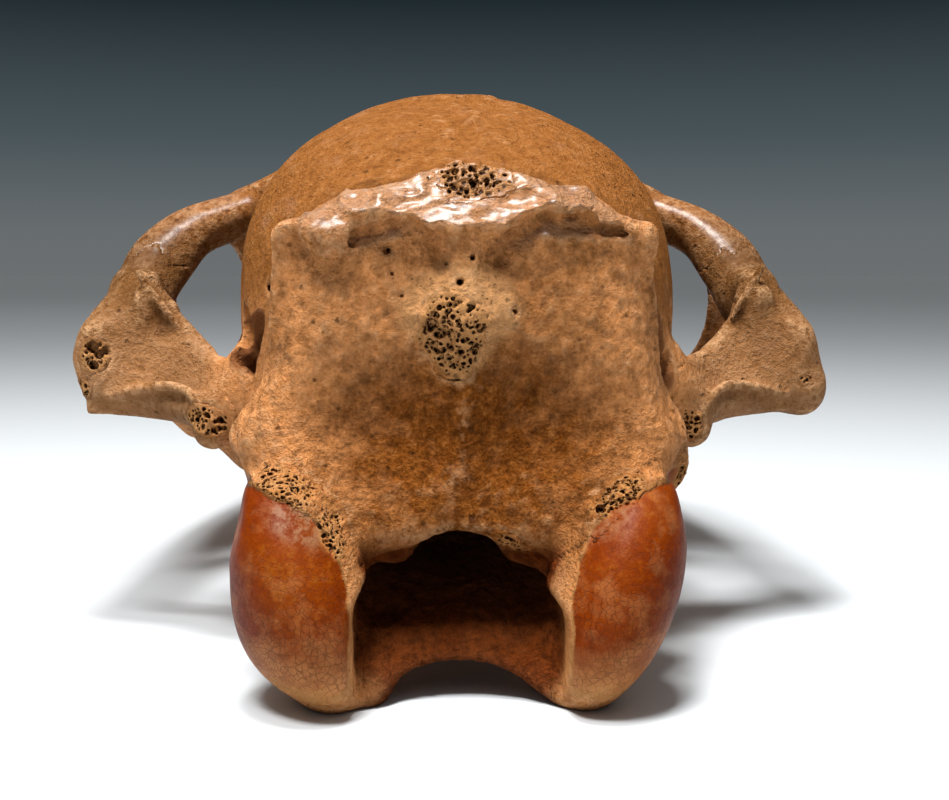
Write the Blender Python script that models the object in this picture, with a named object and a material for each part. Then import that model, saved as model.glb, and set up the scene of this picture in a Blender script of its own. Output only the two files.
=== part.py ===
"""Skull of a horse without its lower jaw, resting on its condyles, cheek teeth and incisors.

Metres, +Z up, nose toward +Y. The forms are worked out in millimetres as distances to the
bone's surface, turned into one closed mesh, and parted along the sutures with thin cuts.
"""
import bpy
import numpy as np

# ---------------------------------------------------------------- driving dimensions, mm
HOLE_HALF_WIDTH = 22.6      # great hole at the back, middle to side
HOLE_TOP = 31.0             # its shoulders above the floor
CONDYLE_SIDE = 33.6         # middle line to the middle of each condyle
CONDYLE_RADII = (14.0, 20.0, 27.0)
CREST_TOP = 107.0           # middle of the crest on the back of the head
CREST_HALF = 38.0
OCCIPUT_REAR = 15.0
BRAIN_HALF_WIDTH = 56.0
BRAIN_TOP = 138.0
ARCH_HALF_BREADTH = 89.0    # middle line to the middle of the cheek arch
ORBIT_AT = (75.5, 184.0, 85.0)
ORBIT_RADII = (31.0, 26.0)
ORBIT_TURN = 22.0           # degrees the eye faces forward
FOREHEAD_HALF = 79.0
FOREHEAD_SAG = 36.0
FACE_HALF_WIDTH = 66.0
FACE_START = 206.0
NASAL_TIP = 482.0
MUZZLE_HALF_WIDTH = 32.0
TOOTH_ROW_START = 239.0     # middle of the hindmost cheek tooth
TOOTH_LENGTH = 27.4
TOOTH_HALF = (12.2, 13.4, 12.0)
CHEEK_TEETH = 6
INCISOR_ANGLES = (12.0, 37.0, 62.0)
INCISOR_ARC = (0.0, 506.0)
SUTURE = 0.3                # width of the cuts between bones
NASAL_SLOPE = -12.3         # degrees the nasal bones fall toward the nose
GRID = 3.0                  # spacing of the points the surface is found on
TRIANGLES = 5600            # of the whole skull before it is parted
FLOOR_TRIM = 0.3            # taken off underneath so that every foot is flat and level
BOX_LOW = (-106.0, -15.0, -6.0)
BOX_HIGH = (106.0, 556.0, 156.0)

FAR = 60.0
MILLIMETRE = 0.001
MIDDLE_OF_LENGTH = 265.95   # brings the middle of the length to the origin

SKULL = "horse_skull"
COLOURS = {
    "occipital_bone": (0.42, 0.22, 0.11),
    "occipital_condyle_left": (0.44, 0.13, 0.035),
    "occipital_condyle_right": (0.45, 0.135, 0.037),
    "braincase": (0.50, 0.23, 0.085),
    "skull_base": (0.36, 0.19, 0.10),
    "frontal_bone": (0.49, 0.235, 0.09),
    "zygomatic_arch_left": (0.45, 0.24, 0.12),
    "zygomatic_arch_right": (0.455, 0.245, 0.125),
    "nasal_bones": (0.47, 0.25, 0.115),
    "maxilla_left": (0.44, 0.245, 0.125),
    "maxilla_right": (0.445, 0.25, 0.13),
    "premaxilla": (0.43, 0.24, 0.12),
}


# ---------------------------------------------------------------- tools that shape bone
def smooth_min(a, b, k):
    """The smaller of two distances, with the crease between them filled over k mm."""
    h = np.maximum(k - np.abs(a - b), 0.0) / k
    return np.minimum(a, b) - h * h * k * 0.25


def spline(stations):
    """Rows of (place, values...) become a function of place that gives smooth values."""
    rows = np.array(stations, float)
    places, values = rows[:, 0], rows[:, 1:]
    slope = np.gradient(values, places, axis=0)
    fine = np.linspace(places[0], places[-1], 400)
    k = np.clip(np.searchsorted(places, fine) - 1, 0, len(places) - 2)
    h = (places[k + 1] - places[k])[:, None]
    s = (fine[:, None] - places[k][:, None]) / h
    s2 = s * s
    s3 = s2 * s
    table = ((2 * s3 - 3 * s2 + 1) * values[k] + (s3 - 2 * s2 + s) * h * slope[k]
             + (3 * s2 - 2 * s3) * values[k + 1] + (s3 - s2) * h * slope[k + 1])
    return lambda place: [np.interp(place, fine, column) for column in table.T]


def turned(x=0.0, y=0.0, z=0.0):
    """Rotation by degrees about x, then y, then z."""
    a, b, c = np.radians([x, y, z])
    about_x = np.array([[1, 0, 0], [0, np.cos(a), -np.sin(a)], [0, np.sin(a), np.cos(a)]])
    about_y = np.array([[np.cos(b), 0, np.sin(b)], [0, 1, 0], [-np.sin(b), 0, np.cos(b)]])
    about_z = np.array([[np.cos(c), -np.sin(c), 0], [np.sin(c), np.cos(c), 0], [0, 0, 1]])
    return about_z @ about_y @ about_x


def egg(centre, radii, tilt=(0, 0, 0)):
    """An ellipsoid. Every shape is a distance function with the corners of its box."""
    centre, radii, axes = np.array(centre, float), np.array(radii, float), turned(*tilt)
    reach = np.sqrt(((axes * radii) ** 2).sum(1))

    def distance(p):
        q = (p - centre) @ axes
        near = np.sqrt(((q / radii) ** 2).sum(1)) + 1e-9
        steep = np.sqrt(((q / radii ** 2) ** 2).sum(1)) + 1e-9
        return near * (near - 1) / steep
    return distance, centre - reach, centre + reach


def bar(points, radii, broad=(0, 0, 1)):
    """A rod through the points with a (along broad, across) radius at each of them."""
    points = np.array(points, float)
    radii = np.array([r if np.ndim(r) else (r, r) for r in radii], float)
    most = radii.max()
    up = np.array(broad, float) / np.linalg.norm(broad)

    def distance(p):
        best = np.full(len(p), 1e3)
        for a, b, ra, rb in zip(points[:-1], points[1:], radii[:-1], radii[1:]):
            axis = b - a
            length2 = axis @ axis
            t = np.clip(((p - a) @ axis) / length2, 0, 1)[:, None]
            off = p - (a + t * axis)
            r = ra + t * (rb - ra)
            lean = up - axis * (up @ axis) / length2
            lean /= np.linalg.norm(lean)
            tall = off @ lean
            wide = np.sqrt(np.maximum((off ** 2).sum(1) - tall ** 2, 0))
            near = np.sqrt((tall / r[:, 0]) ** 2 + (wide / r[:, 1]) ** 2) + 1e-9
            steep = np.sqrt((tall / r[:, 0] ** 2) ** 2 + (wide / r[:, 1] ** 2) ** 2) + 1e-9
            best = np.minimum(best, near * (near - 1) / steep)
        return best
    return distance, points.min(0) - most, points.max(0) + most


def block(centre, half, round_off, tilt=(0, 0, 0)):
    """A box with rounded edges."""
    centre, half, axes = np.array(centre, float), np.array(half, float), turned(*tilt)
    reach = (np.abs(axes) * half).sum(1)

    def distance(p):
        q = np.abs((p - centre) @ axes) - (half - round_off)
        outside = np.sqrt((np.maximum(q, 0) ** 2).sum(1))
        return outside + np.minimum(q.max(1), 0) - round_off
    return distance, centre - reach, centre + reach


def loft(stations, along=1, round_off=8.0):
    """A tube of sections along y (1) or z (2), each as wide left as right.

    Each row: place, half width, top, middle, bottom, squareness above and below the middle.
    """
    curve = spline(stations)
    rows = np.array(stations, float)
    other = 3 - along
    low, high = np.zeros(3), np.zeros(3)
    low[0], high[0] = -rows[:, 1].max(), rows[:, 1].max()
    low[along], high[along] = rows[0, 0], rows[-1, 0]
    low[other], high[other] = rows[:, 4].min(), rows[:, 2].max()

    def distance(p):
        place = p[:, along]
        width, top, middle, bottom, above, below = curve(np.clip(place, rows[0, 0], rows[-1, 0]))
        up = p[:, other] - middle
        h = np.where(up > 0, top - middle, middle - bottom)
        n = np.where(up > 0, above, below)
        a, b = np.abs(p[:, 0]) / width + 1e-6, np.abs(up) / h + 1e-6
        rho = (a ** n + b ** n) ** (1 / n)
        steep = rho ** (1 - n) * np.sqrt((a ** (n - 1) / width) ** 2 + (b ** (n - 1) / h) ** 2)
        side = (rho - 1) / np.maximum(steep, 1e-3)
        end = np.maximum(rows[0, 0] - place, place - rows[-1, 0])
        return -smooth_min(-side, -end, round_off)
    return distance, low, high


def ring(centre, radii, tube, tilt=(0, 0, 0)):
    """An oval hoop that stands in its own y-z plane. Tube: half thickness across, in plane."""
    centre, axes = np.array(centre, float), turned(*tilt)
    reach = np.full(3, max(radii) + max(tube))

    def distance(p):
        q = (p - centre) @ axes
        along, up = q[:, 1] / radii[0], q[:, 2] / radii[1]
        rho = np.sqrt(along ** 2 + up ** 2) + 1e-9
        steep = np.sqrt((along / radii[0]) ** 2 + (up / radii[1]) ** 2) / rho + 1e-9
        in_plane = (rho - 1) / steep
        near = np.sqrt((q[:, 0] / tube[0]) ** 2 + (in_plane / tube[1]) ** 2) + 1e-9
        return (near - 1) * min(tube)
    return distance, centre - reach, centre + reach


def forehead(half_widths, crown_line, sag, spread, thin, thicker):
    """A plate that follows the crown line and falls away by sag toward each side.

    It is thin at its edges and grows by thicker in the middle, where it lies on the brain case.
    """
    places, halves = np.array(half_widths, float).T
    crown_at = spline(crown_line)

    def distance(p):
        y = p[:, 1]
        crown, = crown_at(y)
        x = np.abs(p[:, 0])
        wave = np.pi / 2 * np.minimum(x / spread, 1)
        height = crown - sag * np.sin(wave) ** 2
        thick = thin + thicker * np.clip(1.6 - 2.2 * x / spread, 0, 1)
        slope = sag * np.pi / 2 / spread * np.sin(2 * wave)
        sheet = np.abs(p[:, 2] - (height - thick / 2)) / np.sqrt(1 + slope ** 2) - thick / 2
        edge = x - np.interp(y, places, halves)
        end = np.maximum(places[0] - y, y - places[-1])
        return -smooth_min(-np.maximum(sheet, edge), -end, thin)
    wide = halves.max()
    return distance, np.array([-wide, places[0], 80.0]), np.array([wide, places[-1], 152.0])


class Bone:
    """Distance in mm from each point to the bone's surface: less than nought inside it.

    Shapes are given for the right side and stand on both, or on one side where side is given.
    """
    margin = 14.0

    def __init__(self, points):
        self.side = np.sign(points[:, 0])
        self.p = points.copy()
        self.p[:, 0] = np.abs(self.p[:, 0])
        self.d = np.full(len(points), FAR)

    def near(self, shape, side):
        low, high = shape[1] - self.margin, shape[2] + self.margin
        inside = ((self.p > low) & (self.p < high)).all(1)
        if side:
            inside &= self.side == side
        return np.nonzero(inside)[0]

    def add(self, shape, blend=4.0, side=0):
        i = self.near(shape, side)
        self.d[i] = smooth_min(self.d[i], shape[0](self.p[i]), blend)

    def cut(self, shape, blend=3.0, side=0):
        i = self.near(shape, side)
        self.d[i] = -smooth_min(-self.d[i], shape[0](self.p[i]), blend)


# ---------------------------------------------------------------- the bones
CROWN_LINE = [(90, 138), (120, 143.5), (150, 146.8), (180, 148), (210, 147), (240, 143.5)]


def braincase(bone):
    """The round box of the brain, narrowing behind the eyes."""
    wide = BRAIN_HALF_WIDTH
    bone.add(loft([
        (14, wide - 20, CREST_TOP + 1, 76, 46, 2.6, 2.4),
        (40, wide - 10, 119, 80, 38, 2.5, 2.2),
        (70, wide - 1.5, 131, 84, 34, 2.4, 2.2),
        (95, wide + 1, BRAIN_TOP, 86, 34, 2.4, 2.2),
        (120, wide - 3, BRAIN_TOP + 3.5, 88, 38, 2.35, 2.2),
        (150, wide - 15, BRAIN_TOP + 5, 92, 46, 2.0, 2.2),
        (185, wide - 24, BRAIN_TOP + 5, 95, 56, 2.0, 2.4),
        (215, wide - 20, BRAIN_TOP + 3, 90, 56, 2.0, 2.4)], round_off=10))


def occiput(bone):
    """The upright plate at the back with its crest, side edges and middle boss."""
    rear = OCCIPUT_REAR
    bone.add(loft([
        (36, 37, 60, 28, rear - 7, 3, 3),
        (46, 46, 60, 32, rear - 6, 3, 3.2),
        (56, 50, 60, 34, rear - 4, 3, 3.5),
        (64, 46, 60, 34, rear - 2, 3, 4.5),
        (75, 42, 60, 34, rear, 3, 5),
        (90, 40, 60, 34, rear + 1, 3, 5),
        (102, CREST_HALF, 60, 34, rear, 3, 4),
        (110, 30, 50, 30, rear - 2, 3, 3)], along=2, round_off=4), 6)
    bone.add(bar([(0, 13, CREST_TOP), (12, 12, CREST_TOP - 1), (24, 14, CREST_TOP - 4),
                  (CREST_HALF, 20, CREST_TOP - 7.5)],
                 [(5, 6.5), (5.5, 6.5), (4.6, 6), (3.4, 4.5)]), 5)
    bone.add(bar([(39, 21, 99), (42, 26, 84), (43, 28, 69), (48, 32, 57)], [3, 2.6, 2.6, 4]), 5)
    bone.add(egg((0, 18.5, 81), (11, 5.5, 14)), 2.5)
    bone.cut(egg((15, 9.5, 95), (10, 6.5, 4.5)), 3)
    bone.cut(egg((20, 3, 62), (20, 14, 14)), 8)
    bone.add(egg((47.5, 36, 50), (6.5, 8, 8)), 4, side=1)
    bone.add(egg((44, 36, 56), (6.5, 8, 8)), 4, side=-1)


def condyles_and_base(bone):
    """The two condyles, the walls of the great hole and the bar under the brain."""
    bone.add(loft([
        (18, 30, 52, 32, 12, 2.6, 2.4),
        (50, 33, 62, 40, 20, 2.4, 2.3),
        (80, 34, 72, 50, 30, 2.2, 2.2)], round_off=5), 5)
    bone.add(egg((33, 30, 39), (13, 20, 20)), 6)
    bone.add(egg((CONDYLE_SIDE, 10.5, 26), CONDYLE_RADII, (-20, 20, 0)), 3)
    bone.add(bar([(0, 24, 15.5), (0, 60, 27), (0, 100, 38), (0, 150, 52), (0, 215, 62)],
                 [(6, 22), (7, 17), (8, 13), (8, 12), (6, 8)]), 6)
    bone.add(bar([(4, 21, 15), (24, 12, 8.5)], [(5, 7), (8, 9)]), 4)
    bone.add(egg((32, 66, 36), (9, 13, 10)), 6)


def cheek_arch(bone):
    """The arch from the jaw joint to the crest on the side of the face."""
    out = ARCH_HALF_BREADTH
    bone.add(bar([(46, 60, 66), (58, 68, 62), (70, 78, 65), (84, 84, 68)],
                 [(13, 10), (9.5, 8), (10, 8), (11, 8)]), 6)
    bone.add(bar([(66, 82, 62), (80, 85, 64), (90, 86, 65.5)], [(4.5, 9), (5, 9.5), (6, 9)]), 5)
    bone.add(egg((93, 86, 62), (6, 8, 5)), 4, side=1)
    bone.add(bar([(60, 68, 62), (60, 64, 54.5)], [7, 5]), 4)
    bone.add(bar([(out - 1.5, 84, 75), (out - 0.5, 96, 79), (out - 1, 112, 81)],
                 [(17, 9.5), (16.5, 7), (14, 6)], broad=(-0.4, 0, 1)), 4)
    bone.add(bar([(78.5, 87, 90.5), (75, 84, 81), (67, 79, 71.5)], [(4, 3.6), (4, 3.6), (4, 4)]), 4)
    bone.add(egg((81, 85, 77), (9, 5, 14)), 3)
    bone.add(bar([(out - 1, 108, 79), (out + 2, 130, 73), (out + 1, 155, 64), (out - 1, 180, 55),
                  (84, 208, 47), (77, 240, 44), (70, 285, 48), (63, 325, 48), (57, 352, 48)],
                 [(13.5, 6), (11, 5.5), (8.5, 6), (8, 7), (11, 9), (14, 11), (9, 9), (6, 7), (4, 5)]), 6)
    bone.add(egg((66, 233, 38), (14, 19, 18)), 8)


def eye_socket(bone):
    """The forehead, the bar behind the eye and the rim round it."""
    wide = FOREHEAD_HALF
    bone.add(forehead([(112, 30), (135, wide - 23), (165, wide - 5), (195, wide), (215, wide - 5),
                       (228, wide - 13)], CROWN_LINE, FOREHEAD_SAG, 85, 8, 22), 7)
    bone.add(bar([(54, 150, 114), (66, 143, 108.5), (76, 136, 103.5), (83, 127, 96.5), (86.5, 116, 88)],
                 [(6, 12), (6.8, 11), (7.5, 10.5), (9, 9.5), (8.5, 8)], broad=(0.55, 0, 1)), 6)
    bone.add(ring(ORBIT_AT, ORBIT_RADII, (4.5, 4), (0, 0, ORBIT_TURN)), 5)


def face(bone):
    """The long box of the face, the nasal bones over it and the muzzle."""
    wide = FACE_HALF_WIDTH
    bone.add(loft([
        (FACE_START, wide - 6, 144, 84, 26, 2.1, 3.2),
        (240, wide, 142.5, 80, 17, 2.0, 3.4),
        (280, wide - 1, 135, 72, 14, 1.9, 3.4),
        (320, wide - 5.5, 125.5, 66, 13, 1.85, 3.4),
        (360, wide - 12, 115, 60, 14, 1.8, 3.2),
        (396, wide - 23, 104.5, 55, 20, 1.9, 2.8),
        (410, wide - 28, 99, 52, 24, 2.0, 2.6)], round_off=8), 6)
    orbit_x, orbit_y, orbit_z = ORBIT_AT
    bone.cut(egg((orbit_x - 7, orbit_y, orbit_z), (42, 27, 22.5), (0, 0, ORBIT_TURN)), 3)
    bone.add(bar([(0, 340, 108), (0, 400, 97.5), (0, 440, 89.5), (0, 468, 83.5), (0, NASAL_TIP, 80)],
                 [(11, 32), (8, 26), (6.5, 18), (5, 10), (3, 4)]), 4)
    bone.add(bar([(37, 374, 70), (34, 415, 53), (29, 460, 38), (26, 495, 31), (25, 515, 27)],
                 [(18, 8), (16, 7), (10, 8), (9.5, 9), (10, 9)]), 6)
    bone.add(bar([(0, 400, 33), (0, 450, 30), (0, 500, 27)], [(9, 30), (8, 26), (8, 24)]), 8)
    bone.add(egg((0, 510, 27), (MUZZLE_HALF_WIDTH, 28, 13)), 6)


def openings(bone):
    """Nose, palate, throat and brain cavities, as far as they can be looked into."""
    bone.cut(loft([
        (300, 20, 100, 75, 48, 2, 2.5),
        (360, 27, 101, 72, 45, 2.2, 2.5),
        (400, 27, 94, 66, 40, 2.2, 2.5),
        (460, 21, 84, 58, 37, 2.2, 2.5),
        (500, 15, 80, 52, 37, 2.2, 2.2),
        (522, 8, 80, 52, 40, 2.2, 2.2)], round_off=8), 3)
    bone.cut(bar([(40, 381, 88), (40, 430, 76), (37, 490, 62)], [(4, 31), (12, 31), (19, 31)]), 3)
    bone.cut(loft([
        (150, 20, 42, 30, -20, 2.5, 4),
        (215, 23, 44, 28, -20, 2.5, 4),
        (260, 30, 38, 20, -20, 2.5, 5),
        (330, 29, 36, 18, -20, 2.5, 5),
        (390, 27, 32, 16, -20, 2.5, 5),
        (450, 20, 24, 12, -20, 2.5, 4),
        (500, 14, 18, 6, -20, 2.2, 4)], round_off=8), 4)
    bone.add(bar([(25, 240, 44), (24.5, 200, 46), (23, 160, 50), (20, 140, 52)],
                 [(18, 5), (17, 4), (12, 4), (6, 4)]), 5)
    bone.cut(loft([
        (146, 16, 60, 46, 20, 2.3, 3),
        (200, 19, 66, 48, 10, 2.3, 3),
        (250, 19, 66, 52, 30, 2.3, 3),
        (320, 19, 80, 60, 46, 2.3, 3)], round_off=6), 3)
    hole = HOLE_HALF_WIDTH
    bone.cut(loft([
        (-25, hole, HOLE_TOP, 18, -20, 2.6, 6),
        (0, hole, HOLE_TOP, 18, -6, 2.6, 6),
        (14, hole, HOLE_TOP, 18, 12, 2.6, 3.5),
        (30, hole - 1, HOLE_TOP + 7, 26, 20, 2.3, 3),
        (55, hole - 3, 56, 36, 29, 2.1, 2.6),
        (70, hole - 3, 60, 45, 35, 2.1, 2.4)], round_off=5), 2)
    bone.cut(bar([(-1, -10, 28), (-1, 20, 29), (-1, 50, 38)], [(9, 10.5), (9, 10.5), (12, 14)]), 3)
    bone.cut(egg((0, 92, 80), (38, 46, 38)), 6)
    bone.cut(egg((0, 8, -5), (17, 17, 14.5)), 3)
    bone.cut(egg((47.5, 42, 77), (3.5, 7, 8)), 2)


def teeth(bone):
    """Six worn cheek teeth in each row and six incisors, then everything made level."""
    for number in range(CHEEK_TEETH):
        y = TOOTH_ROW_START + TOOTH_LENGTH * number
        x = 45.5 - 0.0006 * (y - 285) ** 2
        bone.add(block((x, y, 10), TOOTH_HALF, 2.5), 5)
    middle, centre = INCISOR_ARC
    for angle in INCISOR_ANGLES:
        s, c = np.sin(np.radians(angle)), np.cos(np.radians(angle))
        root = (middle + 26 * s, centre - 1 + 20 * c, 24)
        neck = (middle + 29.5 * s, centre + 29 * c, 12)
        edge = (middle + 30.5 * s, centre + 2 + 32 * c, -2)
        bone.add(bar([root, neck, edge], [(5.5, 6.8), (5.2, 6.4), (4.6, 5.8)], (s, c, 0.2)), 4)
    bone.cut(block((0, 270, -20), (200, 400, 20), 0.01), 0.01)


def leaning(points):
    """How far the brain case leans to the right, in mm, at each point."""
    rise = np.clip((points[:, 2] - 35) / 50, 0, 1)
    rear = np.clip((190 - points[:, 1]) / 60, 0, 1)
    inner = np.clip((78 - np.abs(points[:, 0])) / 16, 0, 1)
    return 2.8 * rise * rise * (3 - 2 * rise) * rear * inner


def skull_distance(points):
    points = points.copy()
    points[:, 0] -= leaning(points)
    bone = Bone(points)
    for shape in (braincase, occiput, condyles_and_base, cheek_arch, eye_socket, face, openings, teeth):
        shape(bone)
    return bone.d


# ---------------------------------------------------------------- distances to a closed mesh
def close_diagonals(value, shallow):
    """Fills grid points where the bone would touch itself only along an edge."""
    for first, second in ((0, 1), (0, 2), (1, 2)) * 4:
        v = np.moveaxis(value, (first, second), (0, 1))
        a, b, c, d = v[:-1, :-1], v[:-1, 1:], v[1:, :-1], v[1:, 1:]
        falling = (a < 0) & (d < 0) & (b >= 0) & (c >= 0)
        rising = (b < 0) & (c < 0) & (a >= 0) & (d >= 0)
        b[falling] = -shallow
        a[rising] = -shallow


def find_surface(distance, low, high, step):
    """One vertex in each grid cell the surface crosses, joined into four-sided faces."""
    low, high = np.array(low), np.array(high)
    count = np.ceil((high - low) / step).astype(int) + 1
    axes = [low[i] + step * np.arange(count[i]) for i in range(3)]
    grid = np.stack(np.meshgrid(*axes, indexing="ij"), -1).reshape(-1, 3)
    value = distance(grid).reshape(count)
    close_diagonals(value, step / 4)
    inside = value < 0
    corners = np.array([(x, y, z) for x in (0, 1) for y in (0, 1) for z in (0, 1)])
    filled = sum(inside[x:count[0] - 1 + x, y:count[1] - 1 + y, z:count[2] - 1 + z].astype(int)
                 for x, y, z in corners)
    cell = np.array(np.nonzero((filled > 0) & (filled < 8))).T
    at = np.stack([value[tuple((cell + corner).T)] for corner in corners], 1)
    place, crossings = np.zeros((len(cell), 3)), np.zeros(len(cell))
    for a in range(8):
        for b in range(a + 1, 8):
            if np.abs(corners[a] - corners[b]).sum() != 1:
                continue
            cross = (at[:, a] < 0) != (at[:, b] < 0)
            t = at[:, a] / np.where(cross, at[:, a] - at[:, b], 1)
            spot = corners[a] + t[:, None] * (corners[b] - corners[a])
            place += np.where(cross[:, None], spot, 0)
            crossings += cross
    vertices = low + step * (cell + place / crossings[:, None])
    number = np.full(count - 1, -1)
    number[tuple(cell.T)] = np.arange(len(cell))
    faces = []
    for axis in range(3):
        one, two = [i for i in range(3) if i != axis]
        near = [slice(1, count[i] - 1) for i in range(3)]
        near[axis] = slice(0, count[axis] - 1)
        far = list(near)
        far[axis] = slice(1, count[axis])
        edge = np.array(np.nonzero(inside[tuple(near)] != inside[tuple(far)])).T
        outward = inside[tuple(near)][tuple(edge.T)]
        if axis == 1:
            outward = ~outward
        edge[:, one] += 1
        edge[:, two] += 1
        face = []
        for back_one, back_two in ((0, 0), (1, 0), (1, 1), (0, 1)):
            corner = edge.copy()
            corner[:, one] -= back_one
            corner[:, two] -= back_two
            face.append(number[tuple(corner.T)])
        face = np.stack(face, 1)
        face[~outward] = face[~outward][:, ::-1]
        faces.append(face)
    return vertices, np.concatenate(faces)


# ---------------------------------------------------------------- building in the scene
def new_object(name, vertices, faces, collection):
    mesh = bpy.data.meshes.new(name)
    mesh.from_pydata(vertices.tolist(), [], faces.tolist())
    mesh.update()
    thing = bpy.data.objects.new(name, mesh)
    collection.objects.link(thing)
    return thing


def new_collection(name):
    collection = bpy.data.collections.new(name)
    bpy.context.scene.collection.children.link(collection)
    return collection


BOX_FACES = np.array([(0, 1, 3, 2), (4, 6, 7, 5), (0, 4, 5, 1), (2, 3, 7, 6), (0, 2, 6, 4), (1, 5, 7, 3)])


def new_cutter(name, vertices, collection):
    """Eight corners in mm become a box shown as wire and left out of the picture."""
    vertices = vertices - (0, MIDDLE_OF_LENGTH, 0)
    thing = new_object(name, vertices * MILLIMETRE, BOX_FACES, collection)
    thing.hide_render = True
    thing.display_type = "WIRE"
    return thing


def slab(centre, half, tilt):
    signs = np.array([(x, y, z) for x in (-1, 1) for y in (-1, 1) for z in (-1, 1)], float)
    return (signs * half) @ turned(*tilt).T + centre


def upright_sheet(outline):
    """Corners of a suture-thin sheet in the middle plane: rear low, rear high, front high, front low."""
    rear_low, rear_high, front_high, front_low = outline
    order = (rear_low, rear_high, front_low, front_high)
    return np.array([(x * SUTURE / 2, *corner) for x in (-1, 1) for corner in order])


def finished(thing):
    """Vertices and triangles of the object with its modifiers carried out."""
    bpy.context.view_layer.update()
    shown = thing.evaluated_get(bpy.context.evaluated_depsgraph_get())
    mesh = shown.to_mesh()
    mesh.calc_loop_triangles()
    vertices = np.array([v.co[:] for v in mesh.vertices])
    triangles = np.array([t.vertices[:] for t in mesh.loop_triangles])
    shown.to_mesh_clear()
    return vertices, triangles


def loose_parts(vertices, triangles):
    """The pieces the cuts leave, largest first."""
    label = np.arange(len(vertices))
    while True:
        lowest = label[triangles].min(1)
        before = label.copy()
        for corner in range(3):
            np.minimum.at(label, triangles[:, corner], lowest)
        label = label[label]
        if (label == before).all():
            break
    owner = label[triangles[:, 0]]
    pieces = []
    for which in np.unique(owner):
        mine = triangles[owner == which]
        used, renumbered = np.unique(mine, return_inverse=True)
        pieces.append((vertices[used], renumbered.reshape(-1, 3)))
    return sorted(pieces, key=lambda piece: -len(piece[1]))


def half_slab(*size):
    """Half sizes of a cut: nought stands for the width of a suture."""
    return [s if s else SUTURE / 2 for s in size]


# name, middle, half size (0 = suture), tilt in degrees; all in mm
SUTURES = [
    ("occipital_suture", (0, 44, 65), half_slab(75, 0, 90), (17, 0, 0)),
    ("coronal_suture", (0, 118, 75), half_slab(64, 0, 90), (0, 0, 0)),
    ("sphenoid_suture", (0, 161, 88), half_slab(58, 44, 0), (0, 0, 0)),
    ("face_suture", (0, 203, 75), half_slab(110, 0, 90), (0, 0, 0)),
    ("nasal_floor", (0, 310, 103), half_slab(25.4, 110, 0), (NASAL_SLOPE, 0, 0)),
    ("muzzle_suture", (0, 393, 40), half_slab(62, 0, 51), (14, 0, 0)),
]
for side, mark in (("right", 1), ("left", -1)):
    SUTURES += [
        ("condyle_rim_" + side, (mark * 37.5, 3, 43.5), half_slab(28, 25, 0), (0, -42.6 * mark, 0)),
        ("condyle_root_" + side, (mark * 40, 14, 20), half_slab(20.3, 0, 42), (0, 0, 0)),
        ("condyle_inside_" + side, (mark * 20, -1, 9), half_slab(0, 15.3, 15), (0, 0, 0)),
        ("arch_root_" + side, (mark * 55.5, 77.5, 68), half_slab(0, 34.5, 32), (0, 16 * mark, 0)),
        ("brow_suture_" + side, (mark * 87, 131, 92.5), half_slab(22, 37, 0), (-13.5, 0, 0)),
        ("nasal_side_" + side, (mark * 25, 349.6, 116.6), half_slab(0, 150, 22), (NASAL_SLOPE, 0, 0)),
    ]

# corners (y, z) of the upright cut that parts the left and right upper jaw bones, mm
PALATE_SUTURE = [(203, 20), (203, 126.4), (381.6, 87.5), (397.6, 22)]

# a place inside each bone, mm
BONES = {
    "occipital_bone": (0, 22, 75),
    "occipital_condyle_left": (-34, 5, 25),
    "occipital_condyle_right": (34, 5, 25),
    "braincase": (0, 75, 125),
    "skull_base": (0, 160, 60),
    "frontal_bone": (0, 165, 140),
    "zygomatic_arch_left": (-90, 130, 73),
    "zygomatic_arch_right": (90, 130, 73),
    "nasal_bones": (0, 330, 115),
    "maxilla_left": (-55, 300, 40),
    "maxilla_right": (55, 300, 40),
    "premaxilla": (0, 508, 27),
}


def bone_material(name):
    material = bpy.data.materials.new(name)
    material.use_nodes = True
    surface = material.node_tree.nodes["Principled BSDF"]
    surface.inputs["Base Color"].default_value = (*COLOURS[name], 1.0)
    smooth = "condyle" in name
    surface.inputs["Roughness"].default_value = 0.35 if smooth else 0.6
    return material


def build():
    for thing in list(bpy.data.objects):
        bpy.data.objects.remove(thing, do_unlink=True)
    shown = new_collection(SKULL)
    cutters = new_collection("sutures")
    vertices, faces = find_surface(skull_distance, BOX_LOW, BOX_HIGH, GRID)
    vertices[:, 1] -= MIDDLE_OF_LENGTH
    whole = new_object("whole_skull", vertices * MILLIMETRE, faces, shown)
    fewer = whole.modifiers.new("fewer_faces", "DECIMATE")
    fewer.ratio = TRIANGLES / (2 * len(faces))
    level = slab((0, 266, FLOOR_TRIM - 20), (150, 330, 20), (0, 0, 0))
    knives = [new_cutter("floor_level", level, cutters)]
    knives.append(new_cutter("palate_suture", upright_sheet(PALATE_SUTURE), cutters))
    for name, middle, half, tilt in SUTURES:
        knives.append(new_cutter(name, slab(middle, half, tilt), cutters))
    for knife in knives:
        cut = whole.modifiers.new(knife.name, "BOOLEAN")
        cut.operation = "DIFFERENCE"
        cut.solver = "MANIFOLD"     # EXACT leaves edges with four faces on this dense mesh
        cut.object = knife
    pieces = loose_parts(*finished(whole))
    names = list(BONES)
    spots = np.array([BONES[name] for name in names]) - (0, MIDDLE_OF_LENGTH, FLOOR_TRIM)
    for piece_vertices, piece_triangles in pieces[:len(names)]:
        piece_vertices[:, 2] -= FLOOR_TRIM * MILLIMETRE
        offsets = piece_vertices[None] - spots[:, None] * MILLIMETRE
        name = names[int(np.argmin(np.sqrt((offsets ** 2).sum(2)).min(1)))]
        bone = new_object(name, piece_vertices, piece_triangles, shown)
        bone.data.materials.append(bone_material(name))
    bpy.data.objects.remove(whole, do_unlink=True)


build()
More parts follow.
